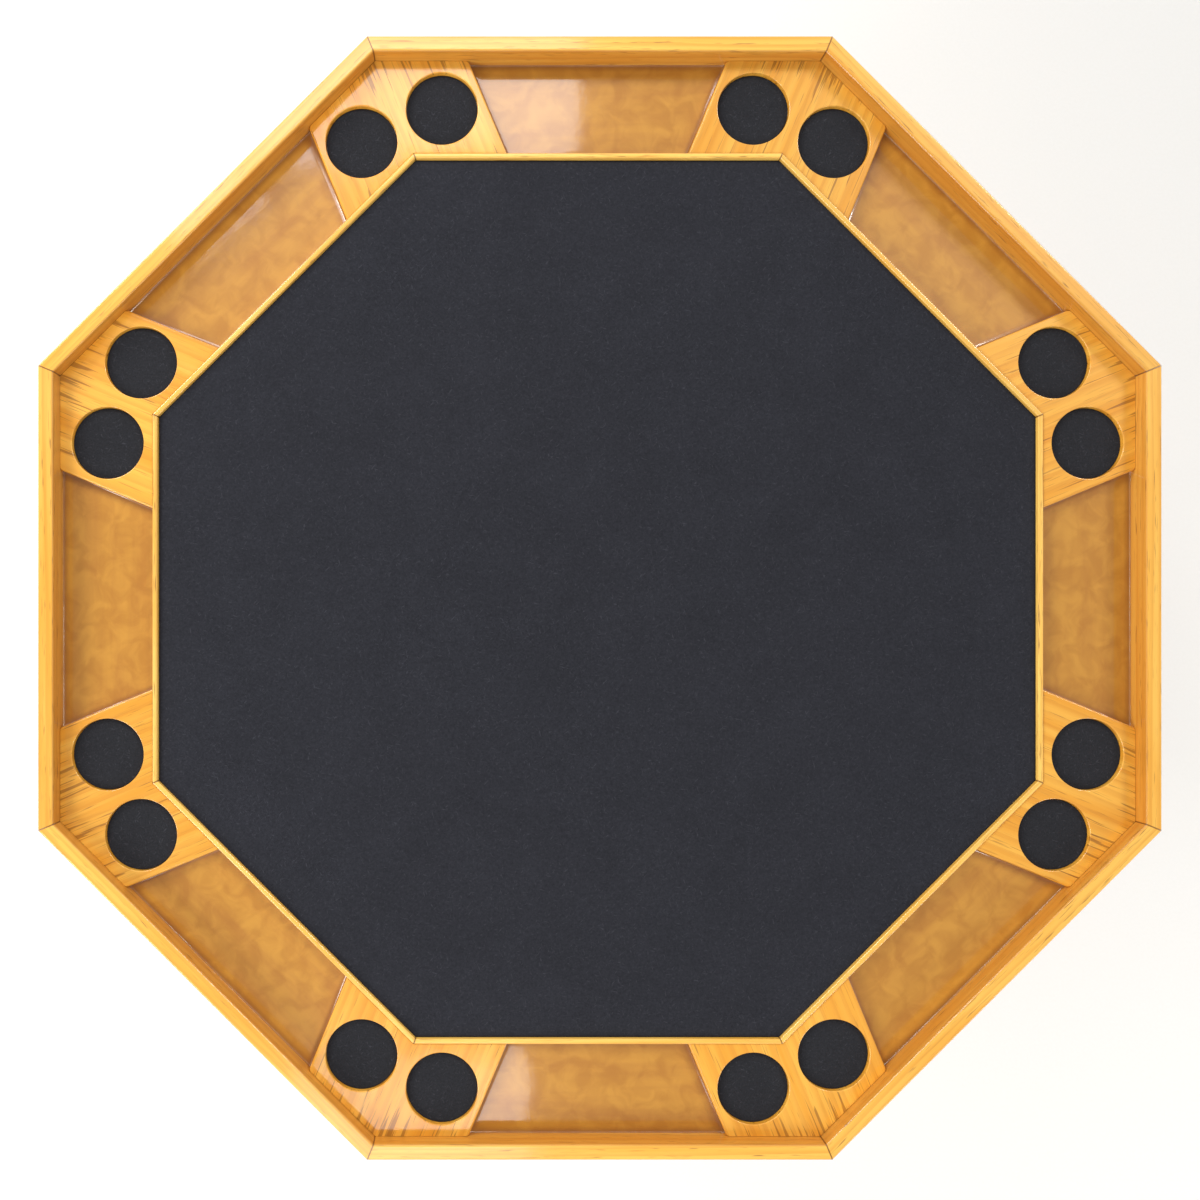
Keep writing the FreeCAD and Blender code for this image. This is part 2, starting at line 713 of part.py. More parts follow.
def frame_bolts():
    """Bolts through the column into the feet, and through the head plate into the bearers."""
    inside = COLUMN_APOTHEM - COLUMN_BOARD
    outward = FreeCAD.Vector(1, 0, 0)
    bolts = []
    for height in FOOT_BOLT_HEIGHTS:
        seat = FreeCAD.Vector(inside, 0, height)
        shank = Part.makeCylinder(FRAME_BOLT_RADIUS, COLUMN_BOARD + FOOT_BOLT_GRIP, seat, outward)
        head_seat = FreeCAD.Vector(inside - BOLT_HEAD_THICK, 0, height)
        head = Part.makeCylinder(FRAME_BOLT_HEAD, BOLT_HEAD_THICK, head_seat, outward)
        bolts += round_the_sides(shank.fuse(head).removeSplitter(), FEET, SIDE_ANGLE)
    for x in (-HEAD_BOLT_X, HEAD_BOLT_X):
        for y in (-HEAD_BOLT_Y, HEAD_BOLT_Y):
            shank = cylinder(x, y, FRAME_BOLT_RADIUS, HEAD_BOTTOM, BEARER_BOTTOM + HEAD_BOLT_GRIP)
            head = cylinder(x, y, FRAME_BOLT_HEAD, HEAD_BOTTOM - BOLT_HEAD_THICK, HEAD_BOTTOM)
            bolts.append(shank.fuse(head).removeSplitter())
    return bolts


# Levellers


def leveller_nuts():
    """Flanged threaded inserts pressed into the feet."""
    barrel = cylinder(LEVELLER_ALONG, 0, NUT_BARREL_RADIUS, FOOT_BOTTOM, FOOT_BOTTOM + NUT_BARREL_HEIGHT)
    flange = cylinder(LEVELLER_ALONG, 0, NUT_FLANGE_RADIUS, FOOT_BOTTOM - NUT_FLANGE_THICK, FOOT_BOTTOM)
    bore = cylinder(LEVELLER_ALONG, 0, STEM_RADIUS + RUNNING_GAP, 0, STEM_HOLE_TOP)
    return round_the_sides(barrel.fuse(flange).cut(bore).removeSplitter(), FEET, SIDE_ANGLE)


def leveller_pads():
    """Nylon pads that stand on the floor, each with a socket for its stem."""
    pad = cylinder(LEVELLER_ALONG, 0, PAD_RADIUS, 0, PAD_HEIGHT)
    pad = rounded(pad, PAD_ROUND, lambda e: is_circle(e, PAD_RADIUS, PAD_HEIGHT))
    socket = cylinder(LEVELLER_ALONG, 0, STEM_RADIUS, PAD_SOCKET_FLOOR, PAD_HEIGHT + 1)
    return round_the_sides(pad.cut(socket), FEET, SIDE_ANGLE)


def leveller_stems():
    """Steel stems that screw into the feet, each with a hexagon to turn it by."""
    stem = cylinder(LEVELLER_ALONG, 0, STEM_RADIUS, PAD_SOCKET_FLOOR, STEM_TOP)
    corner = STEM_HEX_ACROSS / math.sqrt(3)
    hexagon = [
        (LEVELLER_ALONG + corner * math.cos(math.radians(60 * i)), corner * math.sin(math.radians(60 * i)))
        for i in range(6)
    ]
    nut = prism(hexagon, STEM_HEX_LOW, STEM_HEX_HIGH)
    return round_the_sides(stem.fuse(nut).removeSplitter(), FEET, SIDE_ANGLE)


# Export

SINGLES = {
    "core_panel": core_panel,
    "dining_panel": dining_panel,
    "felt_board": felt_board,
    "poker_felt": poker_felt,
    "bed_board": bed_board,
    "bed_cloth": bed_cloth,
    "pedestal_head": pedestal_head,
}

GROUPS = {
    "felt_trim": felt_trim,
    "cup_felts": cup_felts,
    "panel_screws": panel_screws,
    "cushion_rails": cushion_rails,
    "cushion_rubbers": cushion_rubbers,
    "cushion_covers": cushion_covers,
    "apron_panels": apron_panels,
    "return_panels": return_panels,
    "glue_blocks": glue_blocks,
    "rail_bolts": rail_bolts,
    "rest_pads": rest_pads,
    "pocket_liners": pocket_liners,
    "ball_trays": ball_trays,
    "bumper_posts": bumper_posts,
    "bumper_rings": bumper_rings,
    "bumper_bolts": bumper_bolts,
    "bed_bearers": bed_bearers,
    "pedestal_panels": pedestal_panels,
    "pedestal_feet": pedestal_feet,
    "frame_bolts": frame_bolts,
    "leveller_nuts": leveller_nuts,
}

NUMBERED = {
    "rim_rail": rim_rails,
    "corner_block": corner_blocks,
    "chip_tray": chip_trays,
    "leveller_pad": leveller_pads,
    "leveller_stem": leveller_stems,
}


def solids_of(shape):
    """The solids in a shape, whatever a cut left them wrapped in."""
    return shape.Solids


def export(name, shapes):
    """Writes one node, made of one or more solids."""
    solids = [solid for shape in shapes for solid in solids_of(shape)]
    bad = [solid for solid in solids if not solid.isValid() or solid.Volume <= 0]
    if bad or not solids:
        raise ValueError(name + " has a bad solid")
    whole = solids[0] if len(solids) == 1 else Part.makeCompound(solids)
    whole.exportStep(os.path.join("parts", name + ".step"))
    print(name, len(solids), "solids", round(sum(s.Volume for s in solids) / 1000), "cm3")


def main():
    """Builds and writes every node."""
    os.makedirs("parts", exist_ok=True)
    for name, make in SINGLES.items():
        export(name, [make()])
    for name, make in GROUPS.items():
        export(name, make())
    for name, make in NUMBERED.items():
        for number, shape in enumerate(make(), start=1):
            export(f"{name}_{number}", [shape])


main()
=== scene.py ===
"""The looks of an octagonal bumper pool table with a loose poker top.

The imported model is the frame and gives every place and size. The pieces on show that need softer
edges, cloth or pooled lacquer are built here, and the other nodes keep their solids and get a finish.

Lengths are metres, the origin is on the floor under the table's centre, and +Z is up. Side 0 of the
octagon faces +X, and corner 0 is the corner between sides 0 and 1.
"""

from __future__ import annotations

import logging
import math
from collections.abc import Callable, Iterable, Sequence
from dataclasses import dataclass
from enum import Enum
from typing import Any

import bmesh
import bpy
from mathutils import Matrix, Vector

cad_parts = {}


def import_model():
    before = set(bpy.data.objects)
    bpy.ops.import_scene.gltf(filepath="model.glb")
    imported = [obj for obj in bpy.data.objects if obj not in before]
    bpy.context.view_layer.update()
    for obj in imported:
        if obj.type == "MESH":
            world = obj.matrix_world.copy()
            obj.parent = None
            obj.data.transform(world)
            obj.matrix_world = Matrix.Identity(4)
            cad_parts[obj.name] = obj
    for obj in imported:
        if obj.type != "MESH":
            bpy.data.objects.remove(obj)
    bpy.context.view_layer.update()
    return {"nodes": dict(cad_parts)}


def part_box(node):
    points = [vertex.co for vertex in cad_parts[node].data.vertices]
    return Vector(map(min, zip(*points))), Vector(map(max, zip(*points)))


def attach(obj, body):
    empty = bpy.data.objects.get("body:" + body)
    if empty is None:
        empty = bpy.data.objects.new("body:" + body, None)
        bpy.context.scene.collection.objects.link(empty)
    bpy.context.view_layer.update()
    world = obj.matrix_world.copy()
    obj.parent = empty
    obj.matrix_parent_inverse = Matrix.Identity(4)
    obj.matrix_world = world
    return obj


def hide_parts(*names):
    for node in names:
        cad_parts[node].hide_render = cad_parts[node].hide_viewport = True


LOG = logging.getLogger("table")

MM = 0.001
SIDES = 8
STEP = 2 * math.pi / SIDES
MITRE = math.tan(STEP / 2)
# The growth rings lie slanted in a board, so every face of it shows them.
RING_TILT = math.radians(38)

Point = tuple[float, float]
Value = float | tuple[float, ...] | bpy.types.NodeSocket


# Colours and scales


def linear(code: str) -> tuple[float, float, float, float]:
    """The linear colour of an sRGB hex code.

    Args:
        code: Six hex digits, with or without a leading #.

    Returns:
        Red, green, blue and an alpha of 1.
    """
    digits = code.lstrip("#")
    channels = [int(digits[i : i + 2], 16) / 255 for i in (0, 2, 4)]
    red, green, blue = [c / 12.92 if c <= 0.04045 else ((c + 0.055) / 1.055) ** 2.4 for c in channels]
    return red, green, blue, 1.0


def per_metre(size_mm: float) -> float:
    """The noise scale whose features are about size_mm across."""
    return 1000 / size_mm


def wave_scale(period_mm: float) -> float:
    """The wave texture's scale for bands that repeat every period_mm, as it turns 20 radians per unit."""
    return 2 * math.pi / (20 * period_mm * MM)


# Plan and section geometry


def turned(point: Point, angle: float) -> Point:
    """A plan point turned about the table's centre by an angle in radians."""
    x, y = point
    return x * math.cos(angle) - y * math.sin(angle), x * math.sin(angle) + y * math.cos(angle)


def arc_through(start: Point, middle: Point, end: Point, steps: int) -> list[Point]:
    """Points on the circle through three points.

    Args:
        start: Where the arc begins.
        middle: A point on the way.
        end: Where the arc ends.
        steps: How many chords the arc has.

    Returns:
        The arc's points, both ends included.
    """
    (ax, ay), (bx, by), (cx, cy) = start, middle, end
    twice = 2 * (ax * (by - cy) + bx * (cy - ay) + cx * (ay - by))
    a2, b2, c2 = ax * ax + ay * ay, bx * bx + by * by, cx * cx + cy * cy
    ux = (a2 * (by - cy) + b2 * (cy - ay) + c2 * (ay - by)) / twice
    uy = (a2 * (cx - bx) + b2 * (ax - cx) + c2 * (bx - ax)) / twice
    radius = math.hypot(ax - ux, ay - uy)
    first = math.atan2(ay - uy, ax - ux)
    sweep = math.remainder(math.atan2(cy - uy, cx - ux) - first, 2 * math.pi)
    return [
        (ux + radius * math.cos(first + sweep * i / steps), uy + radius * math.sin(first + sweep * i / steps))
        for i in range(steps + 1)
    ]


def eased_corner(before: Point, at: Point, after: Point, radius: float, steps: int) -> list[Point]:
    """An arc in place of a corner.

    Args:
        before: The corner before this one.
        at: The corner.
        after: The corner after it.
        radius: The arc's radius. Zero leaves the corner sharp.
        steps: How many chords the arc has.

    Returns:
        The arc's points, or the corner alone.
    """
    if radius <= 0:
        return [at]
    here = Vector(at)
    back = (Vector(before) - here).normalized()
    ahead = (Vector(after) - here).normalized()
    half = back.angle(ahead) / 2
    reach = radius / math.tan(half)
    centre = here + (back + ahead).normalized() * (radius / math.sin(half))
    start = here + back * reach - centre
    end = here + ahead * reach - centre
    sweep = start.angle_signed(end)
    points = []
    for i in range(steps + 1):
        x, y = turned((start.x, start.y), -sweep * i / steps)
        points.append((centre.x + x, centre.y + y))
    return points


def eased_outline(corners: Sequence[tuple[float, float, float]], steps: int = 5) -> list[Point]:
    """A closed outline with some of its corners rounded.

    Args:
        corners: Each corner's two coordinates and its rounding radius, in order.
        steps: How many chords each arc has.

    Returns:
        The outline's points.
    """
    points: list[Point] = []
    count = len(corners)
    for i, (x, y, radius) in enumerate(corners):
        before = corners[i - 1][:2]
        after = corners[(i + 1) % count][:2]
        points += eased_corner(before, (x, y), after, radius, steps)
    return points


def inset(outline: Sequence[Point], depth: float | Sequence[float]) -> list[Point]:
    """A counter-clockwise outline moved inwards.

    Args:
        outline: The outline's points.
        depth: How far each edge moves, one number or one for the edge that starts at each point.

    Returns:
        As many points as the outline has.
    """
    count = len(outline)
    depths = [depth] * count if isinstance(depth, (int, float)) else list(depth)
    moved = []
    for i in range(count):
        here = Vector(outline[i])
        first = (here - Vector(outline[i - 1])).normalized()
        second = (Vector(outline[(i + 1) % count]) - here).normalized()
        first_in, second_in = Vector((-first.y, first.x)), Vector((-second.y, second.x))
        cross = first_in.x * second_in.y - first_in.y * second_in.x
        if abs(cross) < 1e-6:
            shift = second_in * depths[i]
        else:
            a, b = depths[i - 1], depths[i]
            shift = Vector(
                ((a * second_in.y - b * first_in.y) / cross, (b * first_in.x - a * second_in.x) / cross)
            )
        moved.append((here.x + shift.x, here.y + shift.y))
    return moved


def circle(centre: Point, radius: float, steps: int) -> list[Point]:
    """Points round a circle, counter-clockwise."""
    turns = [2 * math.pi * i / steps for i in range(steps)]
    return [(centre[0] + radius * math.cos(a), centre[1] + radius * math.sin(a)) for a in turns]


def octagon(apothem: float) -> list[Point]:
    """The corners of an octagon with side 0 on +X, counter-clockwise."""
    return [turned((apothem, apothem * MITRE), k * STEP) for k in range(SIDES)]


def octagon_area(apothem: float) -> float:
    """The area of an octagon, from its distance from centre to side."""
    return SIDES * apothem**2 * MITRE


def level(outline: Iterable[Point], z: float) -> list[Vector]:
    """An outline lifted to a height."""
    return [Vector((x, y, z)) for x, y in outline]


# Meshes


class Mesher:
    """Gathers the faces of one piece and makes an object of them."""

    def __init__(self) -> None:
        """Starts an empty mesh."""
        self.mesh = bmesh.new()

    def loft(self, loops: Sequence[Sequence[Vector]], closed: bool = True) -> list[list[bmesh.types.BMVert]]:
        """Joins loops of equal length with quads.

        Args:
            loops: The loops, in order.
            closed: Whether each loop's end joins its start.

        Returns:
            The vertices of each loop.
        """
        rings = [[self.mesh.verts.new(point) for point in loop] for loop in loops]
        for low, high in zip(rings, rings[1:]):
            count = len(low)
            for i in range(count if closed else count - 1):
                j = (i + 1) % count
                self.mesh.faces.new((low[i], low[j], high[j], high[i]))
        return rings

    def cap(self, ring: Sequence[bmesh.types.BMVert]) -> None:
        """Closes a ring with one face."""
        self.mesh.faces.new(ring)

    def fill(self, rings: Sequence[Sequence[bmesh.types.BMVert]]) -> None:
        """Fills the flat area between an outer ring and the rings of its holes."""
        edges = []
        for ring in rings:
            for a, b in zip(ring, list(ring[1:]) + [ring[0]]):
                edges.append(self.mesh.edges.get((a, b)) or self.mesh.edges.new((a, b)))
        bmesh.ops.triangle_fill(self.mesh, use_beauty=True, use_dissolve=False, edges=edges)

    def run(self, section: Sequence[Point], side: int, joint: float) -> None:
        """Adds a board with mitred ends on one side of the octagon.

        Args:
            section: The board's section, as distance from the centre line and height.
            side: Which side it lies on.
            joint: The gap left at each mitre.
        """
        ends = []
        for way in (-1, 1):
            plan = [turned((r, way * (r * MITRE - joint)), side * STEP) for r, _ in section]
            ends.append([Vector((x, y, z)) for (x, y), (_, z) in zip(plan, section)])
        rings = self.loft(ends)
        for ring in rings:
            self.cap(ring)

    def piece(self, name: str, sharp_deg: float = 40, boards: bool = True) -> bpy.types.Object:
        """Makes the object, smooth but for the edges that turn sharply.

        Args:
            name: The piece's name.
            sharp_deg: The smallest turn that stays a sharp edge.
            boards: Whether large flat faces keep a flat shade up to their rounded edges.

        Returns:
            The new object, linked to the scene.
        """
        bmesh.ops.remove_doubles(self.mesh, verts=self.mesh.verts, dist=1e-6)
        bmesh.ops.recalc_face_normals(self.mesh, faces=self.mesh.faces)
        for face in self.mesh.faces:
            face.smooth = True
        for edge in self.mesh.edges:
            if len(edge.link_faces) == 2:
                edge.smooth = edge.calc_face_angle(0) < math.radians(sharp_deg)
        data = bpy.data.meshes.new(name)
        self.mesh.to_mesh(data)
        self.mesh.free()
        made = bpy.data.objects.new(name, data)
        bpy.context.scene.collection.objects.link(made)
        if boards:
            normals = made.modifiers.new("flat_shade", "WEIGHTED_NORMAL")
            normals.weight = 100
            normals.keep_sharp = True
        return made


# Materials


class Recipe:
    """The nodes of one material or world, written from its coordinates to its surface."""

    def __init__(self, owner: bpy.types.Material | bpy.types.World) -> None:
        """Starts a material or world afresh, with no nodes."""
        self.owner = owner
        owner.use_nodes = True
        self.tree = owner.node_tree
        self.tree.nodes.clear()

    def add(
        self,
        kind: str,
        inputs: dict[str | int, Value] | None = None,
        out: str | int | None = 0,
        **settings: Any,
    ) -> bpy.types.NodeSocket | None:
        """Adds a node with its settings and links.

        Args:
            kind: The node's type.
            inputs: Numbers, colours or other nodes' outputs, by input.
            out: The output to hand back, or None for a node with no outputs.
            settings: The node's own properties.

        Returns:
            The chosen output.
        """
        node = self.tree.nodes.new(kind)
        for name, setting in settings.items():
            setattr(node, name, setting)
        for key, value in (inputs or {}).items():
            if isinstance(value, bpy.types.NodeSocket):
                self.tree.links.new(value, node.inputs[key])
            else:
                node.inputs[key].default_value = value
        return None if out is None else node.outputs[out]

    def blend(self, share: Value, first: Value, second: Value, **settings: Any) -> bpy.types.NodeSocket:
        """Mixes a share of the second colour into the first."""
        return self.add("ShaderNodeMix", {0: share, 6: first, 7: second}, out=2, data_type="RGBA", **settings)

    def ramp(
        self, value: Value, span: tuple[Value, Value], ends: tuple[Value, Value]
    ) -> bpy.types.NodeSocket:
        """Eases from one end to the other as a value crosses a span."""
        inputs = {0: value, 1: span[0], 2: span[1], 3: ends[0], 4: ends[1]}
        return self.add("ShaderNodeMapRange", inputs, interpolation_type="SMOOTHSTEP")

    def finish(self, inputs: dict[str | int, Value]) -> bpy.types.Material:
        """Ends the material in one surface shader with these inputs."""
        surface = self.add("ShaderNodeBsdfPrincipled", inputs)
        self.add("ShaderNodeOutputMaterial", {"Surface": surface}, out=None)
        return self.owner


class GrainRun(Enum):
    """Which way the boards of a ring have their grain."""

    ROUND = "along the sides"
    OUTWARD = "away from the centre"
    UPRIGHT = "up and down"


@dataclass(frozen=True)
class Layout:
    """How equal boards lie round the centre, so that the grain of each follows its own length."""

    run: GrainRun = GrainRun.ROUND
    boards: int = SIDES
    first_deg: float = 0.0


@dataclass(frozen=True)
class BoardFrame:
    """Outputs that say where a point is on its own board, in metres."""

    grain: bpy.types.NodeSocket
    local: bpy.types.NodeSocket
    number: bpy.types.NodeSocket


def board_frame(recipe: Recipe, layout: Layout) -> BoardFrame:
    """Adds the nodes that find a point's board and its place there.

    Args:
        recipe: The material being written.
        layout: How the boards lie.

    Returns:
        The place along, across and through the grain, apart from board to board; the place outward,
        sideways and up; and the board's number.
    """
    step = 2 * math.pi / layout.boards
    first = math.radians(layout.first_deg)
    place = recipe.add("ShaderNodeTexCoord", out="Object")
    x = recipe.add("ShaderNodeSeparateXYZ", {0: place})
    bearing = recipe.add("ShaderNodeMath", {0: x.node.outputs["Y"], 1: x}, operation="ARCTAN2")
    turns = recipe.add(
        "ShaderNodeMath", {0: bearing, 1: 1 / step, 2: -first / step}, operation="MULTIPLY_ADD"
    )
    nearest = recipe.add("ShaderNodeMath", {0: turns}, operation="ROUND")
    number = recipe.add("ShaderNodeMath", {0: nearest, 1: layout.boards}, operation="FLOORED_MODULO")
    angle = recipe.add("ShaderNodeMath", {0: nearest, 1: -step, 2: -first}, operation="MULTIPLY_ADD")
    local = recipe.add("ShaderNodeVectorRotate", {"Vector": place, "Angle": angle}, rotation_type="Z_AXIS")
    out = recipe.add("ShaderNodeSeparateXYZ", {0: local})
    side, up = out.node.outputs["Y"], out.node.outputs["Z"]
    order = {
        GrainRun.ROUND: (side, out, up),
        GrainRun.OUTWARD: (out, side, up),
        GrainRun.UPRIGHT: (up, side, out),
    }[layout.run]
    along = recipe.add("ShaderNodeCombineXYZ", {0: order[0], 1: order[1], 2: order[2]})
    tilted = recipe.add(
        "ShaderNodeVectorRotate", {"Vector": along, "Angle": RING_TILT}, rotation_type="X_AXIS"
    )
    apart = recipe.add(
        "ShaderNodeVectorMath", {0: number, 1: (3.7, 1.9, 0.83), 2: tilted}, operation="MULTIPLY_ADD"
    )
    return BoardFrame(apart, local, number)


def ripple(
    recipe: Recipe, place: bpy.types.NodeSocket, size_mm: float, depth_mm: float
) -> bpy.types.NodeSocket:
    """Adds the slow waves of brushed lacquer, as a normal for a coat.

    Args:
        recipe: The material being written.
        place: The coordinates to use.
        size_mm: The width of a wave.
        depth_mm: How deep the waves are.

    Returns:
        The normal.
    """
    waves = recipe.add(
        "ShaderNodeTexNoise", {"Vector": place, "Scale": per_metre(size_mm), "Detail": 2.0, "Roughness": 0.5}
    )
    return recipe.add("ShaderNodeBump", {"Height": waves, "Strength": 1.0, "Distance": depth_mm * MM})


@dataclass(frozen=True)
class LacqueredOak:
    """Golden oak under clear lacquer: bands of early and late wood, open pores, and a wet gloss."""

    name: str
    layout: Layout = Layout()
    pale: str = "#F2B548"
    warm: str = "#E79E2E"
    late: str = "#CB7E1F"
    pore: str = "#7A4210"
    tone_mm: float = 34.0
    ring_mm: float = 7.0
    # Real pores are about 0.3 mm across. They are drawn coarser so that they last at the table's size.
    pore_mm: float = 1.5
    stretch: float = 0.06
    figure: float = 0.45
    pore_depth: float = 0.75
    streaks: float = 0.0
    streak_from: float = 0.0
    streak_reach: float = 60 * MM
    streak_mm: float = 4.5
    roughness: float = 0.36
    coat: float = 0.8
    coat_roughness: float = 0.12
    glue_line: bool = False
    # Painted shade: a colour multiplied into the inner face, out to the given distance from the centre.
    inner_shade: str = "#DCCFC4"
    inner_shade_to: float = 0.0

    def material(self) -> bpy.types.Material:
        """Writes the material.

        Returns:
            The finished material.
        """
        recipe = Recipe(bpy.data.materials.new(self.name))
        board = board_frame(recipe, self.layout)
        long = recipe.add(
            "ShaderNodeVectorMath", {0: board.grain, 1: (self.stretch, 1.0, 1.0)}, operation="MULTIPLY"
        )
        tone = recipe.add(
            "ShaderNodeTexNoise",
            {
                "Vector": long,
                "Scale": per_metre(self.tone_mm),
                "Detail": 4.0,
                "Roughness": 0.6,
                "Distortion": 0.5,
            },
        )
        tone = recipe.ramp(tone, (0.32, 0.68), (0.0, 1.0))
        rings = recipe.add(
            "ShaderNodeTexWave",
            {
                "Vector": long,
                "Scale": wave_scale(self.ring_mm),
                "Distortion": 9.0,
                "Detail": 3.0,
                "Detail Scale": 0.35,
                "Detail Roughness": 0.55,
            },
            out=1,
            bands_direction="Y",
            wave_profile="SAW",
        )
        late = recipe.add(
            "ShaderNodeMapRange", {0: rings, 1: 0.35, 2: 1.0, 3: 0.0, 4: self.figure},
            interpolation_type="SMOOTHERSTEP",
        )
        pores = recipe.add(
            "ShaderNodeTexNoise",
            {"Vector": long, "Scale": per_metre(self.pore_mm), "Detail": 1.5, "Roughness": 0.5},
        )
        pores = recipe.ramp(pores, (0.57, 0.72), (0.0, 1.0))
        open_wood = recipe.add("ShaderNodeMapRange", {0: rings, 1: 0.0, 2: 0.6, 3: self.pore_depth, 4: 0.12})
        pores = recipe.add("ShaderNodeMath", {0: pores, 1: open_wood}, operation="MULTIPLY")
        colour = recipe.blend(tone, linear(self.pale), linear(self.warm))
        colour = recipe.blend(late, colour, linear(self.late))
        colour = recipe.blend(pores, colour, linear(self.pore))
        if self.streaks:
            streak = self.end_streaks(recipe, board, long)
            colour = recipe.blend(streak, colour, linear(self.pore))
        chance = recipe.add("ShaderNodeTexWhiteNoise", {"W": board.number}, noise_dimensions="1D")
        value = recipe.add("ShaderNodeMapRange", {0: chance, 1: 0.0, 2: 1.0, 3: 0.93, 4: 1.06})
        colour = recipe.add("ShaderNodeHueSaturation", {"Value": value, "Color": colour})
        if self.glue_line:
            colour = self.with_glue_line(recipe, board, colour)
        # Painted shade on the inner face.
        if self.inner_shade_to:
            colour = self.with_painted_inner_shade(recipe, board, colour)
        rough = recipe.add("ShaderNodeMapRange", {0: pores, 1: 0.0, 2: 1.0, 3: self.roughness, 4: 0.6})
        hollow = recipe.add("ShaderNodeMath", {0: 1.0, 1: pores}, operation="SUBTRACT")
        normal = recipe.add("ShaderNodeBump", {"Height": hollow, "Strength": 0.5, "Distance": 0.12 * MM})
        return recipe.finish(
            {
                "Base Color": colour,
                "Roughness": rough,
                "Normal": normal,
                "Coat Weight": self.coat,
                "Coat Roughness": self.coat_roughness,
                "Coat Normal": ripple(recipe, board.grain, 11.0, 0.035),
            }
        )

    def end_streaks(
        self, recipe: Recipe, board: BoardFrame, long: bpy.types.NodeSocket
    ) -> bpy.types.NodeSocket:
        """Adds the dark streaks that staining draws into the end grain, fading along the board.

        Args:
            recipe: The material being written.
            board: Where a point is on its board.
            long: The coordinates stretched along the grain.

        Returns:
            How dark a point's streak is.
        """
        out = recipe.add("ShaderNodeSeparateXYZ", {0: board.local})
        lines = recipe.add(
            "ShaderNodeTexNoise",
            {
                "Vector": long,
                "Scale": per_metre(self.streak_mm),
                "Detail": 2.0,
                "Roughness": 0.5,
                "Distortion": 0.3,
            },
        )
        depth = recipe.add("ShaderNodeMath", {0: self.streak_from, 1: out}, operation="SUBTRACT")
        reach = recipe.add(
            "ShaderNodeMapRange", {0: depth, 1: 0.0, 2: self.streak_reach, 3: 0.5, 4: 0.68}
        )
        edge = recipe.add("ShaderNodeMath", {0: lines, 1: reach}, operation="SUBTRACT")
        return recipe.ramp(edge, (0.0, 0.05), (0.0, self.streaks))

    def with_glue_line(
        self, recipe: Recipe, board: BoardFrame, colour: bpy.types.NodeSocket
    ) -> bpy.types.NodeSocket:
        """Adds the thin dark line where two mitred boards meet.

        Args:
            recipe: The material being written.
            board: Where a point is on its board.
            colour: The wood's colour.

        Returns:
            The colour with the line.
        """
        out = recipe.add("ShaderNodeSeparateXYZ", {0: board.local})
        side = recipe.add("ShaderNodeMath", {0: out.node.outputs["Y"]}, operation="ABSOLUTE")
        left = recipe.add("ShaderNodeMath", {0: out, 1: MITRE}, operation="MULTIPLY")
        left = recipe.add("ShaderNodeMath", {0: left, 1: side}, operation="SUBTRACT")
        line = recipe.ramp(left, (0.3 * MM, 1.5 * MM), (0.8, 0.0))
        return recipe.blend(line, colour, linear(self.pore))


    def with_painted_inner_shade(
        self, recipe: Recipe, board: BoardFrame, colour: bpy.types.NodeSocket
    ) -> bpy.types.NodeSocket:
        """Darkens the inner face with painted shade, standing in for the shade that falls on it.

        Args:
            recipe: The material being written.
            board: Where a point is on its board.
            colour: The wood's colour.

        Returns:
            The colour with painted shade on the inner face.
        """
        out = recipe.add("ShaderNodeSeparateXYZ", {0: board.local})
        depth = recipe.add("ShaderNodeMath", {0: self.inner_shade_to, 1: out}, operation="SUBTRACT")
        share = recipe.ramp(depth, (0.0, 1.8 * MM), (0.0, 1.0))
        return recipe.blend(share, colour, linear(self.inner_shade), blend_type="MULTIPLY")


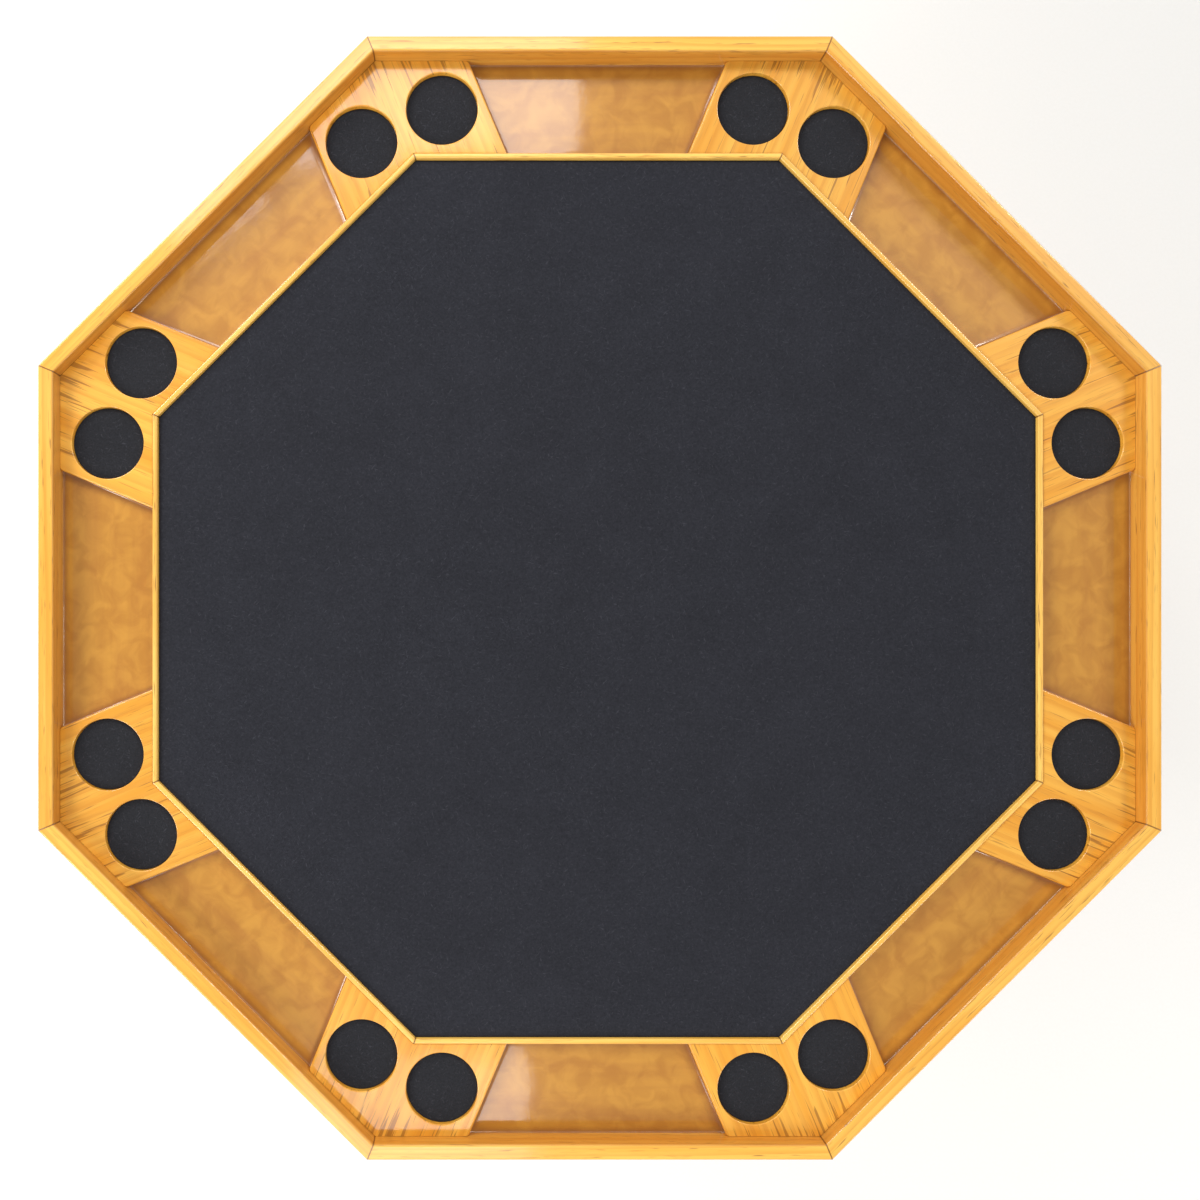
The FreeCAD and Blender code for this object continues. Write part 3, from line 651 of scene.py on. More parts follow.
@dataclass(frozen=True)
class PooledLacquer:
    """Thick amber lacquer on a smooth tray floor: clouded and streaked along the side, with painted shade
    beside the walls.
    """

    name: str
    inner: float
    outer: float
    half_outer: float
    amber: str = "#B87D28"
    honey: str = "#CA9034"
    umber: str = "#9E5C1E"
    # The colour of the painted shade beside the walls, for their shade and their dark reflection in the
    # floor.
    walls: str = "#7C3E14"
    cloud_mm: float = 26.0
    streak_mm: float = 20.0

    def material(self) -> bpy.types.Material:
        """Writes the material.

        Returns:
            The finished material.
        """
        recipe = Recipe(bpy.data.materials.new(self.name))
        board = board_frame(recipe, Layout(GrainRun.ROUND))
        clouds = recipe.add(
            "ShaderNodeTexNoise",
            {"Vector": board.grain, "Scale": per_metre(self.cloud_mm), "Detail": 3.0, "Distortion": 0.8},
        )
        clouds = recipe.ramp(clouds, (0.3, 0.7), (0.0, 1.0))
        long = recipe.add("ShaderNodeVectorMath", {0: board.grain, 1: (0.12, 1.0, 1.0)}, operation="MULTIPLY")
        streaks = recipe.add(
            "ShaderNodeTexNoise",
            {"Vector": long, "Scale": per_metre(self.streak_mm), "Detail": 3.0, "Roughness": 0.55},
        )
        streaks = recipe.ramp(streaks, (0.4, 0.75), (0.0, 0.3))
        colour = recipe.blend(clouds, linear(self.amber), linear(self.honey))
        colour = recipe.blend(streaks, colour, linear(self.umber))
        # Painted shade beside the walls, standing in for their shade and their dark reflection in the floor.
        near = self.wall_shade_share(recipe, board)
        colour = recipe.blend(near, colour, linear(self.walls))
        return recipe.finish(
            {
                "Base Color": colour,
                "Roughness": 0.35,
                "Coat Weight": 1.0,
                "Coat Roughness": 0.07,
                "Coat IOR": 1.6,
                "Coat Normal": ripple(recipe, board.grain, 7.0, 0.03),
            }
        )

    def wall_shade_share(self, recipe: Recipe, board: BoardFrame) -> bpy.types.NodeSocket:
        """Adds how much painted shade a point gets from the nearness of the tray's walls.

        Args:
            recipe: The material being written.
            board: Where a point is in its tray.

        Returns:
            A share of painted shade that falls to zero a little way out.
        """
        out = recipe.add("ShaderNodeSeparateXYZ", {0: board.local})
        side = recipe.add("ShaderNodeMath", {0: out.node.outputs["Y"]}, operation="ABSOLUTE")
        rail = recipe.add("ShaderNodeMath", {0: self.outer, 1: out}, operation="SUBTRACT")
        trim = recipe.add("ShaderNodeMath", {0: out, 1: self.inner}, operation="SUBTRACT")
        half = recipe.add(
            "ShaderNodeMath", {0: rail, 1: -MITRE, 2: self.half_outer}, operation="MULTIPLY_ADD"
        )
        end = recipe.add("ShaderNodeMath", {0: half, 1: side}, operation="SUBTRACT")
        trim = recipe.add("ShaderNodeMath", {0: trim, 1: 2.0}, operation="MULTIPLY")
        least = recipe.add("ShaderNodeMath", {0: rail, 1: end, 2: 12 * MM}, operation="SMOOTH_MIN")
        least = recipe.add("ShaderNodeMath", {0: least, 1: trim, 2: 4 * MM}, operation="SMOOTH_MIN")
        return recipe.ramp(least, (0.0, 9 * MM), (0.6, 0.0))


@dataclass(frozen=True)
class BrushedFelt:
    """Pressed and brushed wool felt: a dark ground, cloudy nap and short loose fibres."""

    name: str
    ground: str = "#1F2026"
    nap: str = "#2C2D34"
    fibre: str = "#5A5B64"
    fleck_mm: float = 2.6
    cloud_mm: float = 60.0
    # Real fibres are about 0.03 mm thick. They and the flecks are drawn coarser so that they are seen at all.
    fibre_mm: float = 1.5
    fibres: float = 0.22
    sheen: float = 0.25

    def material(self) -> bpy.types.Material:
        """Writes the material.

        Returns:
            The finished material.
        """
        recipe = Recipe(bpy.data.materials.new(self.name))
        place = recipe.add("ShaderNodeTexCoord", out="Object")
        flecks = recipe.add(
            "ShaderNodeTexNoise",
            {"Vector": place, "Scale": per_metre(self.fleck_mm), "Detail": 3.0, "Roughness": 0.7},
        )
        flecks = recipe.add("ShaderNodeMapRange", {0: flecks, 1: 0.3, 2: 0.72, 3: 0.0, 4: 1.0})
        clouds = recipe.add(
            "ShaderNodeTexNoise",
            {"Vector": place, "Scale": per_metre(self.cloud_mm), "Detail": 4.0, "Roughness": 0.6},
        )
        clouds = recipe.add("ShaderNodeMapRange", {0: clouds, 1: 0.3, 2: 0.7, 3: 0.93, 4: 1.09})
        colour = recipe.blend(flecks, linear(self.ground), linear(self.nap))
        colour = recipe.add("ShaderNodeHueSaturation", {"Value": clouds, "Color": colour})
        loose = self.loose_fibres(recipe, place)
        colour = recipe.blend(loose, colour, linear(self.fibre))
        height = recipe.add("ShaderNodeMath", {0: flecks, 1: loose}, operation="ADD")
        normal = recipe.add("ShaderNodeBump", {"Height": height, "Strength": 0.6, "Distance": 0.35 * MM})
        return recipe.finish(
            {
                "Base Color": colour,
                "Roughness": 0.95,
                "Specular IOR Level": 0.2,
                "Sheen Weight": self.sheen,
                "Sheen Roughness": 0.5,
                "Sheen Tint": linear(self.fibre),
                "Normal": normal,
            }
        )

    def loose_fibres(self, recipe: Recipe, place: bpy.types.NodeSocket) -> bpy.types.NodeSocket:
        """Adds short fibres that lie three ways on the cloth.

        Args:
            recipe: The material being written.
            place: The cloth's coordinates.

        Returns:
            How much of a fibre a point shows.
        """
        total: Value = 0.0
        for angle_deg in (12.0, 74.0, 133.0):
            way = recipe.add(
                "ShaderNodeVectorRotate", {"Vector": place, "Angle": math.radians(angle_deg)},
                rotation_type="Z_AXIS",
            )
            way = recipe.add("ShaderNodeVectorMath", {0: way, 1: (0.22, 1.0, 1.0)}, operation="MULTIPLY")
            lines = recipe.add(
                "ShaderNodeTexNoise", {"Vector": way, "Scale": per_metre(self.fibre_mm), "Detail": 1.0}
            )
            lines = recipe.ramp(lines, (0.66, 0.8), (0.0, self.fibres))
            total = recipe.add("ShaderNodeMath", {0: lines, 1: total}, operation="MAXIMUM")
        return total


@dataclass(frozen=True)
class RawTimber:
    """Bare wood or board inside the table: matt, pale and a little dusty."""

    name: str
    pale: str
    dark: str
    chip_mm: float
    stretch: float
    layout: Layout = Layout()

    def material(self) -> bpy.types.Material:
        """Writes the material.

        Returns:
            The finished material.
        """
        recipe = Recipe(bpy.data.materials.new(self.name))
        board = board_frame(recipe, self.layout)
        long = recipe.add(
            "ShaderNodeVectorMath", {0: board.grain, 1: (self.stretch, 1.0, 1.0)}, operation="MULTIPLY"
        )
        chips = recipe.add(
            "ShaderNodeTexNoise",
            {"Vector": long, "Scale": per_metre(self.chip_mm), "Detail": 5.0, "Roughness": 0.65},
        )
        share = recipe.add("ShaderNodeMapRange", {0: chips, 1: 0.35, 2: 0.68, 3: 0.0, 4: 1.0})
        colour = recipe.blend(share, linear(self.pale), linear(self.dark))
        normal = recipe.add("ShaderNodeBump", {"Height": chips, "Strength": 0.4, "Distance": 0.3 * MM})
        return recipe.finish({"Base Color": colour, "Roughness": 0.78, "Normal": normal})


@dataclass(frozen=True)
class Moulded:
    """Moulded plastic or rubber: a fine spark-eroded grain, light scuffs and a rubbed gloss."""

    name: str
    colour: str
    scuff: str
    roughness: float
    # The real grain is about 0.1 mm. It is drawn coarser so that it breaks up the gloss at this size.
    grain_mm: float = 1.4

    def material(self) -> bpy.types.Material:
        """Writes the material.

        Returns:
            The finished material.
        """
        recipe = Recipe(bpy.data.materials.new(self.name))
        place = recipe.add("ShaderNodeTexCoord", out="Object")
        grain = recipe.add(
            "ShaderNodeTexNoise", {"Vector": place, "Scale": per_metre(self.grain_mm), "Detail": 2.0}
        )
        rubs = recipe.add(
            "ShaderNodeTexNoise", {"Vector": place, "Scale": per_metre(24.0), "Detail": 5.0, "Roughness": 0.7}
        )
        worn = recipe.add("ShaderNodeMapRange", {0: rubs, 1: 0.5, 2: 0.75, 3: 0.0, 4: 0.5})
        colour = recipe.blend(worn, linear(self.colour), linear(self.scuff))
        rough = recipe.add(
            "ShaderNodeMapRange", {0: rubs, 1: 0.3, 2: 0.7, 3: self.roughness - 0.06, 4: self.roughness + 0.1}
        )
        normal = recipe.add("ShaderNodeBump", {"Height": grain, "Strength": 0.3, "Distance": 0.08 * MM})
        return recipe.finish({"Base Color": colour, "Roughness": rough, "Normal": normal})


@dataclass(frozen=True)
class ZincPlate:
    """Bright zinc on steel: a cool metal with cloudy spangle and fine drawing marks."""

    name: str
    bright: str = "#C9CCCB"
    dull: str = "#9EA2A3"

    def material(self) -> bpy.types.Material:
        """Writes the material.

        Returns:
            The finished material.
        """
        recipe = Recipe(bpy.data.materials.new(self.name))
        place = recipe.add("ShaderNodeTexCoord", out="Object")
        spangle = recipe.add(
            "ShaderNodeTexNoise", {"Vector": place, "Scale": per_metre(5.0), "Detail": 3.0, "Roughness": 0.6}
        )
        colour = recipe.blend(spangle, linear(self.bright), linear(self.dull))
        rough = recipe.add("ShaderNodeMapRange", {0: spangle, 1: 0.3, 2: 0.7, 3: 0.22, 4: 0.42})
        normal = recipe.add("ShaderNodeBump", {"Height": spangle, "Strength": 0.2, "Distance": 0.05 * MM})
        return recipe.finish({"Base Color": colour, "Metallic": 1.0, "Roughness": rough, "Normal": normal})


# Sub-assemblies


class Body(Enum):
    """The rigid bodies that pieces ride on."""

    CABINET = "cabinet"
    TOP = "loose_top"


def place(
    piece: bpy.types.Object, body: Body, material: bpy.types.Material, slot: str, *nodes: str
) -> bpy.types.Object:
    """Gives a new piece its finish and its body, in place of CAD nodes.

    Args:
        piece: The new piece.
        body: The body that it rides on.
        material: Its finish.
        slot: A material slot's name. It is not used.
        nodes: The CAD nodes that it stands for.

    Returns:
        The same piece.
    """
    piece.data.materials.append(material)
    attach(piece, body.value)
    if nodes:
        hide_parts(*nodes)
    LOG.info("%s rides on %s", piece.name, body.value)
    return piece


def dress(nodes: dict[str, bpy.types.Object], material: bpy.types.Material, *names: str) -> None:
    """Gives CAD nodes a finish and leaves their solids alone.

    Args:
        nodes: The frame's nodes.
        material: The finish.
        names: The nodes to dress.
    """
    for name in names:
        for slot in nodes[name].material_slots:
            slot.material = material
        LOG.info("%s wears %s", name, material.name)


@dataclass
class RimRails:
    """The upright oak rails round the loose top."""

    edge_round: float = 2.5 * MM
    base_round: float = 0.4 * MM
    joint: float = 0.12 * MM
    # Its inner face gets painted shade, out to 669 mm from the centre.
    finish: LacqueredOak = LacqueredOak(
        "rim_oak", pale="#F8C055", warm="#EFAB3C", late="#D98F2A", figure=0.4, tone_mm=22.0, glue_line=True,
        inner_shade_to=669 * MM,
    )

    def build(self) -> None:
        """Makes one board to a side."""
        low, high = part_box("rim_rail_1")
        material = self.finish.material()
        corners = [
            (low.x, low.z, self.base_round),
            (high.x, low.z, self.edge_round),
            (high.x, high.z, self.edge_round),
            (low.x, high.z, self.edge_round),
        ]
        section = eased_outline(corners)
        for side in range(SIDES):
            mesher = Mesher()
            mesher.run(section, side, self.joint)
            piece = mesher.piece(f"rim_board_{side + 1}")
            place(piece, Body.TOP, material, "oak_rim", f"rim_rail_{side + 1}")


@dataclass
class CornerBlocks:
    """The veneered corner blocks with their cup wells, and the felt in the wells."""

    well_radius: float = 44.5 * MM
    well_depth: float = 7.0 * MM
    well_round: float = 1.3 * MM
    well_along: float = 635.5 * MM
    well_offset: float = 54.0 * MM
    tip_round: float = 5.0 * MM
    edge_round: float = 2.6 * MM
    butt_round: float = 0.6 * MM
    gap: float = 0.15 * MM
    felt_radius: float = 44.2 * MM
    well_steps: int = 96
    tip_steps: int = 7
    round_steps: int = 5
    oak: LacqueredOak = LacqueredOak(
        "block_oak", layout=Layout(GrainRun.OUTWARD, first_deg=22.5), figure=0.3, tone_mm=26.0, pore_mm=1.7,
        ring_mm=12.0, streaks=0.6, streak_from=722 * MM, stretch=0.045,
    )
    felt: BrushedFelt = BrushedFelt("cup_felt", ground="#1D1E22", nap="#2A2B30", fibres=0.25, fleck_mm=2.0)

    def centres(self) -> list[Point]:
        """The centres of corner 0's two wells."""
        return [turned((self.well_along, way * self.well_offset), STEP / 2) for way in (-1, 1)]

    def outline(self, depth: float) -> tuple[list[Point], list[float]]:
        """The plan of the block at corner 0, drawn in for the rounding of its face.

        Args:
            depth: How far the edges beside the trays move in. The others move less.

        Returns:
            Its points, and the share of the full rounding that each takes.
        """
        low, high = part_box("chip_tray_1")
        out, near = high.x - self.gap, low.x + self.gap
        half, inner_half = high.y, high.y - (high.x - low.x) * MITRE
        corners = [
            (out, half),
            (out, out * MITRE),
            turned((out, -half), STEP),
            turned((near, -inner_half), STEP),
            (near, near * MITRE),
            (near, inner_half),
        ]
        butt = self.butt_round / self.edge_round
        shares = [butt, butt, 1.0, butt, butt, 1.0]
        moved = inset(corners, [depth * share for share in shares])
        radii = [self.tip_round - depth, 0.0, self.tip_round - depth, 0.0, 0.0, 0.0]
        points = eased_outline([(x, y, r) for (x, y), r in zip(moved, radii)], self.tip_steps)
        point_shares: list[float] = []
        for i, radius in enumerate(radii):
            if radius:
                ways = [j / self.tip_steps for j in range(self.tip_steps + 1)]
                point_shares += [shares[i - 1] * (1 - way) + shares[i] * way for way in ways]
            else:
                point_shares.append(max(shares[i - 1], shares[i]))
        return points, point_shares

    def plate(self, turn: float, low: float, high: float) -> Mesher:
        """Makes a block, turned from corner 0.

        Args:
            turn: The angle from corner 0.
            low: The height of its underside.
            high: The height of its face.

        Returns:
            The mesh so far.
        """
        mesher = Mesher()

        def loop(points: Iterable[Point], z: float) -> list[Vector]:
            """Plan points turned to this block's corner and lifted to a height."""
            return level((turned(p, turn) for p in points), z)

        loops = [loop(self.outline(0.0)[0], low)]
        for i in range(self.round_steps + 1):
            angle = math.pi / 2 * i / self.round_steps
            points, shares = self.outline(self.edge_round * (1 - math.cos(angle)))
            drop = self.edge_round * (1 - math.sin(angle))
            loops.append([loop([p], high - drop * share)[0] for p, share in zip(points, shares)])
        rings = mesher.loft(loops)
        mesher.cap(rings[0])
        tops = [rings[-1]]
        for centre in self.centres():
            tops.append(self.well(mesher, loop, centre, high))
        mesher.fill(tops)
        return mesher

    def well(
        self,
        mesher: Mesher,
        loop: Callable[[Iterable[Point], float], list[Vector]],
        centre: Point,
        high: float,
    ) -> list[bmesh.types.BMVert]:
        """Adds a cup well below the block's face.

        Args:
            mesher: The block's mesh.
            loop: Turns plan points and a height into places.
            centre: The well's centre.
            high: The height of the block's face.

        Returns:
            The ring where the well meets the face.
        """
        loops = [loop(circle(centre, self.well_radius, self.well_steps), high - self.well_depth)]
        for i in range(self.round_steps + 1):
            angle = math.pi / 2 * i / self.round_steps
            radius = self.well_radius + self.well_round * (1 - math.cos(angle))
            z = high - self.well_round * (1 - math.sin(angle))
            loops.append(loop(circle(centre, radius, self.well_steps), z))
        rings = mesher.loft(loops)
        mesher.cap(rings[0])
        return rings[-1]

    def cup_felt(self, mesher: Mesher, centre: Point, low: float, high: float) -> None:
        """Adds one felt disc with a soft cut edge.

        Args:
            mesher: The mesh of all the discs.
            centre: The disc's centre.
            low: The height of its underside.
            high: The height of its face.
        """
        steps = 6
        loops = [level(circle(centre, self.felt_radius, self.well_steps), low)]
        thick = high - low
        for i in range(steps + 1):
            angle = math.pi / 2 * i / steps
            radius = self.felt_radius - thick * 0.7 * (1 - math.cos(angle))
            z = low + thick * (0.35 + 0.65 * math.sin(angle))
            loops.append(level(circle(centre, radius, self.well_steps), z))
        for share in (0.85, 0.6, 0.3):
            loops.append(level(circle(centre, self.felt_radius * share, self.well_steps), high))
        rings = mesher.loft(loops)
        mesher.cap(rings[0])
        mesher.cap(rings[-1])

    def build(self) -> None:
        """Makes the blocks and the felt discs."""
        low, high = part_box("corner_block_1")
        material = self.oak.material()
        for corner in range(SIDES):
            piece = self.plate(corner * STEP, low.z, high.z).piece(f"block_{corner + 1}")
            place(piece, Body.TOP, material, "oak_block", f"corner_block_{corner + 1}")
        felt_low, felt_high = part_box("cup_felts")
        mesher = Mesher()
        for corner in range(SIDES):
            for centre in self.centres():
                self.cup_felt(mesher, turned(centre, corner * STEP), felt_low.z, felt_high.z)
        piece = mesher.piece("well_felts")
        place(piece, Body.TOP, self.felt.material(), "black_felt", "cup_felts")


@dataclass
class ChipTrays:
    """The chip tray floors, where thick lacquer has crept up the walls."""

    meniscus: tuple[Point, ...] = (
        (0.0, 2.6), (0.35, 1.75), (0.9, 1.05), (1.8, 0.5), (3.2, 0.15), (5.5, 0.0),
        (10.0, -0.12), (20.0, -0.3), (34.0, -0.45), (48.0, -0.5),
    )

    def build(self) -> None:
        """Makes one floor to a side."""
        low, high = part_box("chip_tray_1")
        inner_half = high.y - (high.x - low.x) * MITRE
        outline = [(low.x, -inner_half), (high.x, -high.y), (high.x, high.y), (low.x, inner_half)]
        material = PooledLacquer("tray_lacquer_amber", low.x, high.x, high.y).material()
        for side in range(SIDES):
            mesher = Mesher()
            plan = [turned(p, side * STEP) for p in outline]
            loops = [level(plan, low.z)]
            for depth, rise in self.meniscus:
                loops.append(level(inset(plan, depth * MM), high.z + rise * MM))
            rings = mesher.loft(loops)
            mesher.cap(rings[0])
            mesher.cap(rings[-1])
            piece = mesher.piece(f"tray_floor_{side + 1}", sharp_deg=60, boards=False)
            place(piece, Body.TOP, material, "tray_lacquer", f"chip_tray_{side + 1}")


@dataclass
class PokerField:
    """The felt field and the oak trim round it."""

    trim_round: float = 2.2 * MM
    joint: float = 0.1 * MM
    tuck: tuple[Point, ...] = ((0.0, -1.3), (0.5, -0.75), (1.2, -0.3), (2.4, -0.06), (4.5, 0.0))
    oak: LacqueredOak = LacqueredOak(
        "trim_oak", pale="#FBCB66", warm="#F2B54A", late="#DA9A38", figure=0.3, tone_mm=12.0, glue_line=True
    )
    felt: BrushedFelt = BrushedFelt("poker_felt_cloth")

    def build(self) -> None:
        """Makes the trim and the felt."""
        low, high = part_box("felt_trim")
        felt_low, felt_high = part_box("poker_felt")
        corners = [
            (felt_high.x, low.z, 0.0),
            (high.x, low.z, 0.0),
            (high.x, high.z, self.trim_round),
            (felt_high.x, high.z, self.trim_round),
        ]
        section = eased_outline(corners, steps=6)
        mesher = Mesher()
        for side in range(SIDES):
            mesher.run(section, side, self.joint)
        place(mesher.piece("trim_strips"), Body.TOP, self.oak.material(), "oak_trim", "felt_trim")
        self.cloth(felt_high.x, felt_low.z, felt_high.z)

    def cloth(self, apothem: float, low: float, high: float) -> None:
        """Makes the felt, tucked down where it meets the trim.

        Args:
            apothem: Half the field's width across flats.
            low: The height of its underside.
            high: The height of its face.
        """
        mesher = Mesher()
        plan = octagon(apothem)
        loops = [level(plan, low)]
        for depth, rise in self.tuck:
            loops.append(level(inset(plan, depth * MM), high + rise * MM))
        for share in (0.9, 0.7, 0.45, 0.2):
            loops.append(level(octagon(apothem * share), high))
        rings = mesher.loft(loops)
        mesher.cap(rings[0])
        mesher.cap(rings[-1])
        piece = mesher.piece("poker_cloth", boards=False)
        place(piece, Body.TOP, self.felt.material(), "black_felt", "poker_felt")
        octagon_area(apothem)


@dataclass
class TopBoards:
    """The boards inside and under the loose top."""

    def dress(self, nodes: dict[str, bpy.types.Object], zinc: bpy.types.Material) -> None:
        """Finishes the boards and screws.

        Args:
            nodes: The frame's nodes.
            zinc: The finish of the screws.
        """
        chipboard = RawTimber("chipboard_core", "#B79A70", "#8A6C46", 5.0, 0.6)
        ply = RawTimber("birch_ply", "#D9BF92", "#BF9C69", 3.0, 0.15)
        veneer = LacqueredOak(
            "dining_veneer", layout=Layout(GrainRun.OUTWARD, first_deg=22.5), coat=0.4, coat_roughness=0.25
        )
        dress(nodes, chipboard.material(), "core_panel")
        dress(nodes, ply.material(), "felt_board")
        dress(nodes, veneer.material(), "dining_panel")
        dress(nodes, zinc, "panel_screws")


def eased_copy(
    node: bpy.types.Object, name: str, width: float, where: Callable[[Vector], bool] = lambda point: True
) -> bpy.types.Object:
    """Makes a copy of a CAD node with its outer edges eased, as a router or sandpaper leaves them.

    Args:
        node: The CAD node.
        name: The copy's name.
        width: How far the easing reaches from an edge.
        where: Says whether an edge with its middle at a point is eased.

    Returns:
        The copy, linked to the scene.
    """
    mesher = Mesher()
    mesh = mesher.mesh
    mesh.from_mesh(node.data)
    bmesh.ops.remove_doubles(mesh, verts=mesh.verts, dist=0.01 * MM)
    bmesh.ops.dissolve_limit(
        mesh, angle_limit=math.radians(0.5), verts=mesh.verts, edges=mesh.edges, use_dissolve_boundaries=False
    )
    chosen = []
    for edge in mesh.edges:
        turns = len(edge.link_faces) == 2 and edge.calc_face_angle(0) > math.radians(35)
        if turns and edge.is_convex and where((edge.verts[0].co + edge.verts[1].co) / 2):
            chosen.append(edge)
    bmesh.ops.bevel(
        mesh, geom=chosen, offset=width, offset_type="OFFSET", segments=3, profile=0.5, affect="EDGES",
        clamp_overlap=True,
    )
    return mesher.piece(name)


@dataclass
class BallField:
    """The bumper pool field under the loose top: cloth, cushions, bumpers and pockets."""

    pocket_hole: float = 43.4 * MM
    pocket_steps: int = 72
    pad_steps: int = 48
    # The cushion's section: each point is set back from the rail's face and stands above the rail's foot.
    nose: tuple[Point, Point, Point] = ((30.8 * MM, 31 * MM), (32 * MM, 33.5 * MM), (30 * MM, 36 * MM))
    heel: Point = (12 * MM, 8 * MM)
    foot_height: float = 4 * MM
    below_rail: float = 2.5 * MM
    # How far the cloth's inner side moves up and back on the slanted underside, in cloth thicknesses.
    slant_rise: float = 1.4
    slant_back: float = 0.5
    cover_setback: float = 14 * MM
    cover: float = 1.2 * MM
    cover_joint: float = 0.2 * MM
    pad_radius: float = 16 * MM
    pad_along: float = 601 * MM
    pad_offset: float = 195 * MM
    # A pad's face: the share of its radius and of its thickness, from its side to its middle.
    pad_crown: tuple[Point, ...] = ((1.0, 0.5), (0.99, 0.8), (0.965, 0.95), (0.93, 1.0), (0.6, 1.0))
    cloth: BrushedFelt = BrushedFelt(
        "green_wool_cloth", ground="#0E5A34", nap="#187A49", fibre="#3FA373", fibres=0.3, fleck_mm=1.8,
        sheen=0.3,
    )
    pad_felt: BrushedFelt = BrushedFelt("pad_felt_brown", ground="#4A3B2C", nap="#63503C", fibre="#8B7559")
    rail_oak: LacqueredOak = LacqueredOak("rail_oak", tone_mm=26.0, glue_line=True)

    def build(self, nodes: dict[str, bpy.types.Object], zinc: bpy.types.Material) -> None:
        """Makes the cloth pieces and finishes the rest.

        Args:
            nodes: The frame's nodes.
            zinc: The finish of the bolts.
        """
        green = self.cloth.material()
        self.bed(green)
        self.cushions(green)
        self.pads()
        dress(nodes, self.rail_oak.material(), "cushion_rails")
        dress(nodes, Moulded("gum_rubber", "#2B2622", "#3A342E", 0.62).material(), "cushion_rubbers")
        dress(nodes, Moulded("white_abs", "#E9E6DC", "#D8D2C2", 0.22).material(), "bumper_posts")
        dress(nodes, Moulded("cream_rubber", "#CFC4AC", "#B4A78C", 0.55).material(), "bumper_rings")
        dress(nodes, Moulded("black_abs", "#17181A", "#2A2B2D", 0.34).material(), "pocket_liners")
        dress(nodes, RawTimber("bed_chipboard", "#B79A70", "#8A6C46", 5.0, 0.6).material(), "bed_board")
        dress(nodes, zinc, "rail_bolts", "bumper_bolts")

    def bed(self, green: bpy.types.Material) -> None:
        """Makes the bed cloth, cut out for the pockets.

        Args:
            green: The cloth's finish.
        """
        low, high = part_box("bed_cloth")
        first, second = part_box("pocket_liners")
        along = (second.y - first.y) / 2 - (second.x - first.x) / 2
        outlines = [octagon(high.x)]
        for way in (-1, 1):
            outlines.append(circle((0.0, way * along), self.pocket_hole, self.pocket_steps))
        mesher = Mesher()
        rings = [mesher.loft([level(outline, low.z), level(outline, high.z)]) for outline in outlines]
        for which in (0, 1):
            mesher.fill([pair[which] for pair in rings])
        piece = mesher.piece("field_cloth")
        place(piece, Body.CABINET, green, "green_cloth", "bed_cloth")

    def cushions(self, green: bpy.types.Material) -> None:
        """Wraps the cloth round each cushion's rubber.

        Args:
            green: The cloth's finish.
        """
        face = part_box("cushion_covers")[1].x
        rail_low, rail_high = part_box("cushion_rails")
        base = rail_low.z
        skins = []
        for depth in (0.0, self.cover):
            (low_back, low_up), (mid_back, mid_up), (top_back, top_up) = self.nose
            nose = arc_through(
                (face - low_back + depth, base + low_up),
                (face - mid_back + depth, base + mid_up),
                (face - top_back + depth, base + top_up - depth),
                8,
            )
            raised = depth * self.slant_rise
            heel = (face - self.heel[0] + depth * self.slant_back, base + self.heel[1] + raised)
            back = [(face, base + self.foot_height + raised), heel]
            skins.append(back + nose + [(face, rail_high.z - self.below_rail - depth)])
        section = skins[0] + skins[1][::-1]
        mesher = Mesher()
        for side in range(SIDES):
            mesher.run(section, side, self.cover_joint)
        piece = mesher.piece("cushion_cloth", sharp_deg=60)
        place(piece, Body.CABINET, green, "green_cloth", "cushion_covers")
        girth = sum(math.dist(a, b) for a, b in zip(skins[0], skins[0][1:]))

    def pads(self) -> None:
        """Makes the felt pads that the loose top rests on."""
        low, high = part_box("rest_pads")
        thick = high.z - low.z
        mesher = Mesher()
        for side in range(SIDES):
            for way in (-1, 1):
                centre = turned((self.pad_along, way * self.pad_offset), side * STEP)
                loops = [level(circle(centre, self.pad_radius, self.pad_steps), low.z)]
                for share, rise in self.pad_crown:
                    plan = circle(centre, self.pad_radius * share, self.pad_steps)
                    loops.append(level(plan, low.z + thick * rise))
                rings = mesher.loft(loops)
                mesher.cap(rings[0])
                mesher.cap(rings[-1])
        piece = mesher.piece("rail_pads")
        place(piece, Body.CABINET, self.pad_felt.material(), "pad_felt", "rest_pads")


@dataclass
class Cabinet:
    """The apron round the field, with what holds it together and the trays that bring the balls back."""

    ease: float = 1.2 * MM
    oak: LacqueredOak = LacqueredOak("apron_oak", tone_mm=40.0, ring_mm=10.0, coat=0.6, coat_roughness=0.16)

    def build(self, nodes: dict[str, bpy.types.Object]) -> None:
        """Eases the apron's edges and finishes what is behind it.

        Args:
            nodes: The frame's nodes.
        """
        oak = self.oak.material()
        for node, name in (("apron_panels", "apron_boards"), ("return_panels", "return_boards")):
            place(eased_copy(nodes[node], name, self.ease), Body.CABINET, oak, "oak_apron", node)
        softwood = RawTimber("planed_pine", "#D8B784", "#B98F57", 6.0, 0.06)
        dress(nodes, softwood.material(), "glue_blocks", "bed_bearers")
        dress(nodes, RawTimber("tray_ply", "#D9BF92", "#BF9C69", 3.0, 0.15).material(), "ball_trays")


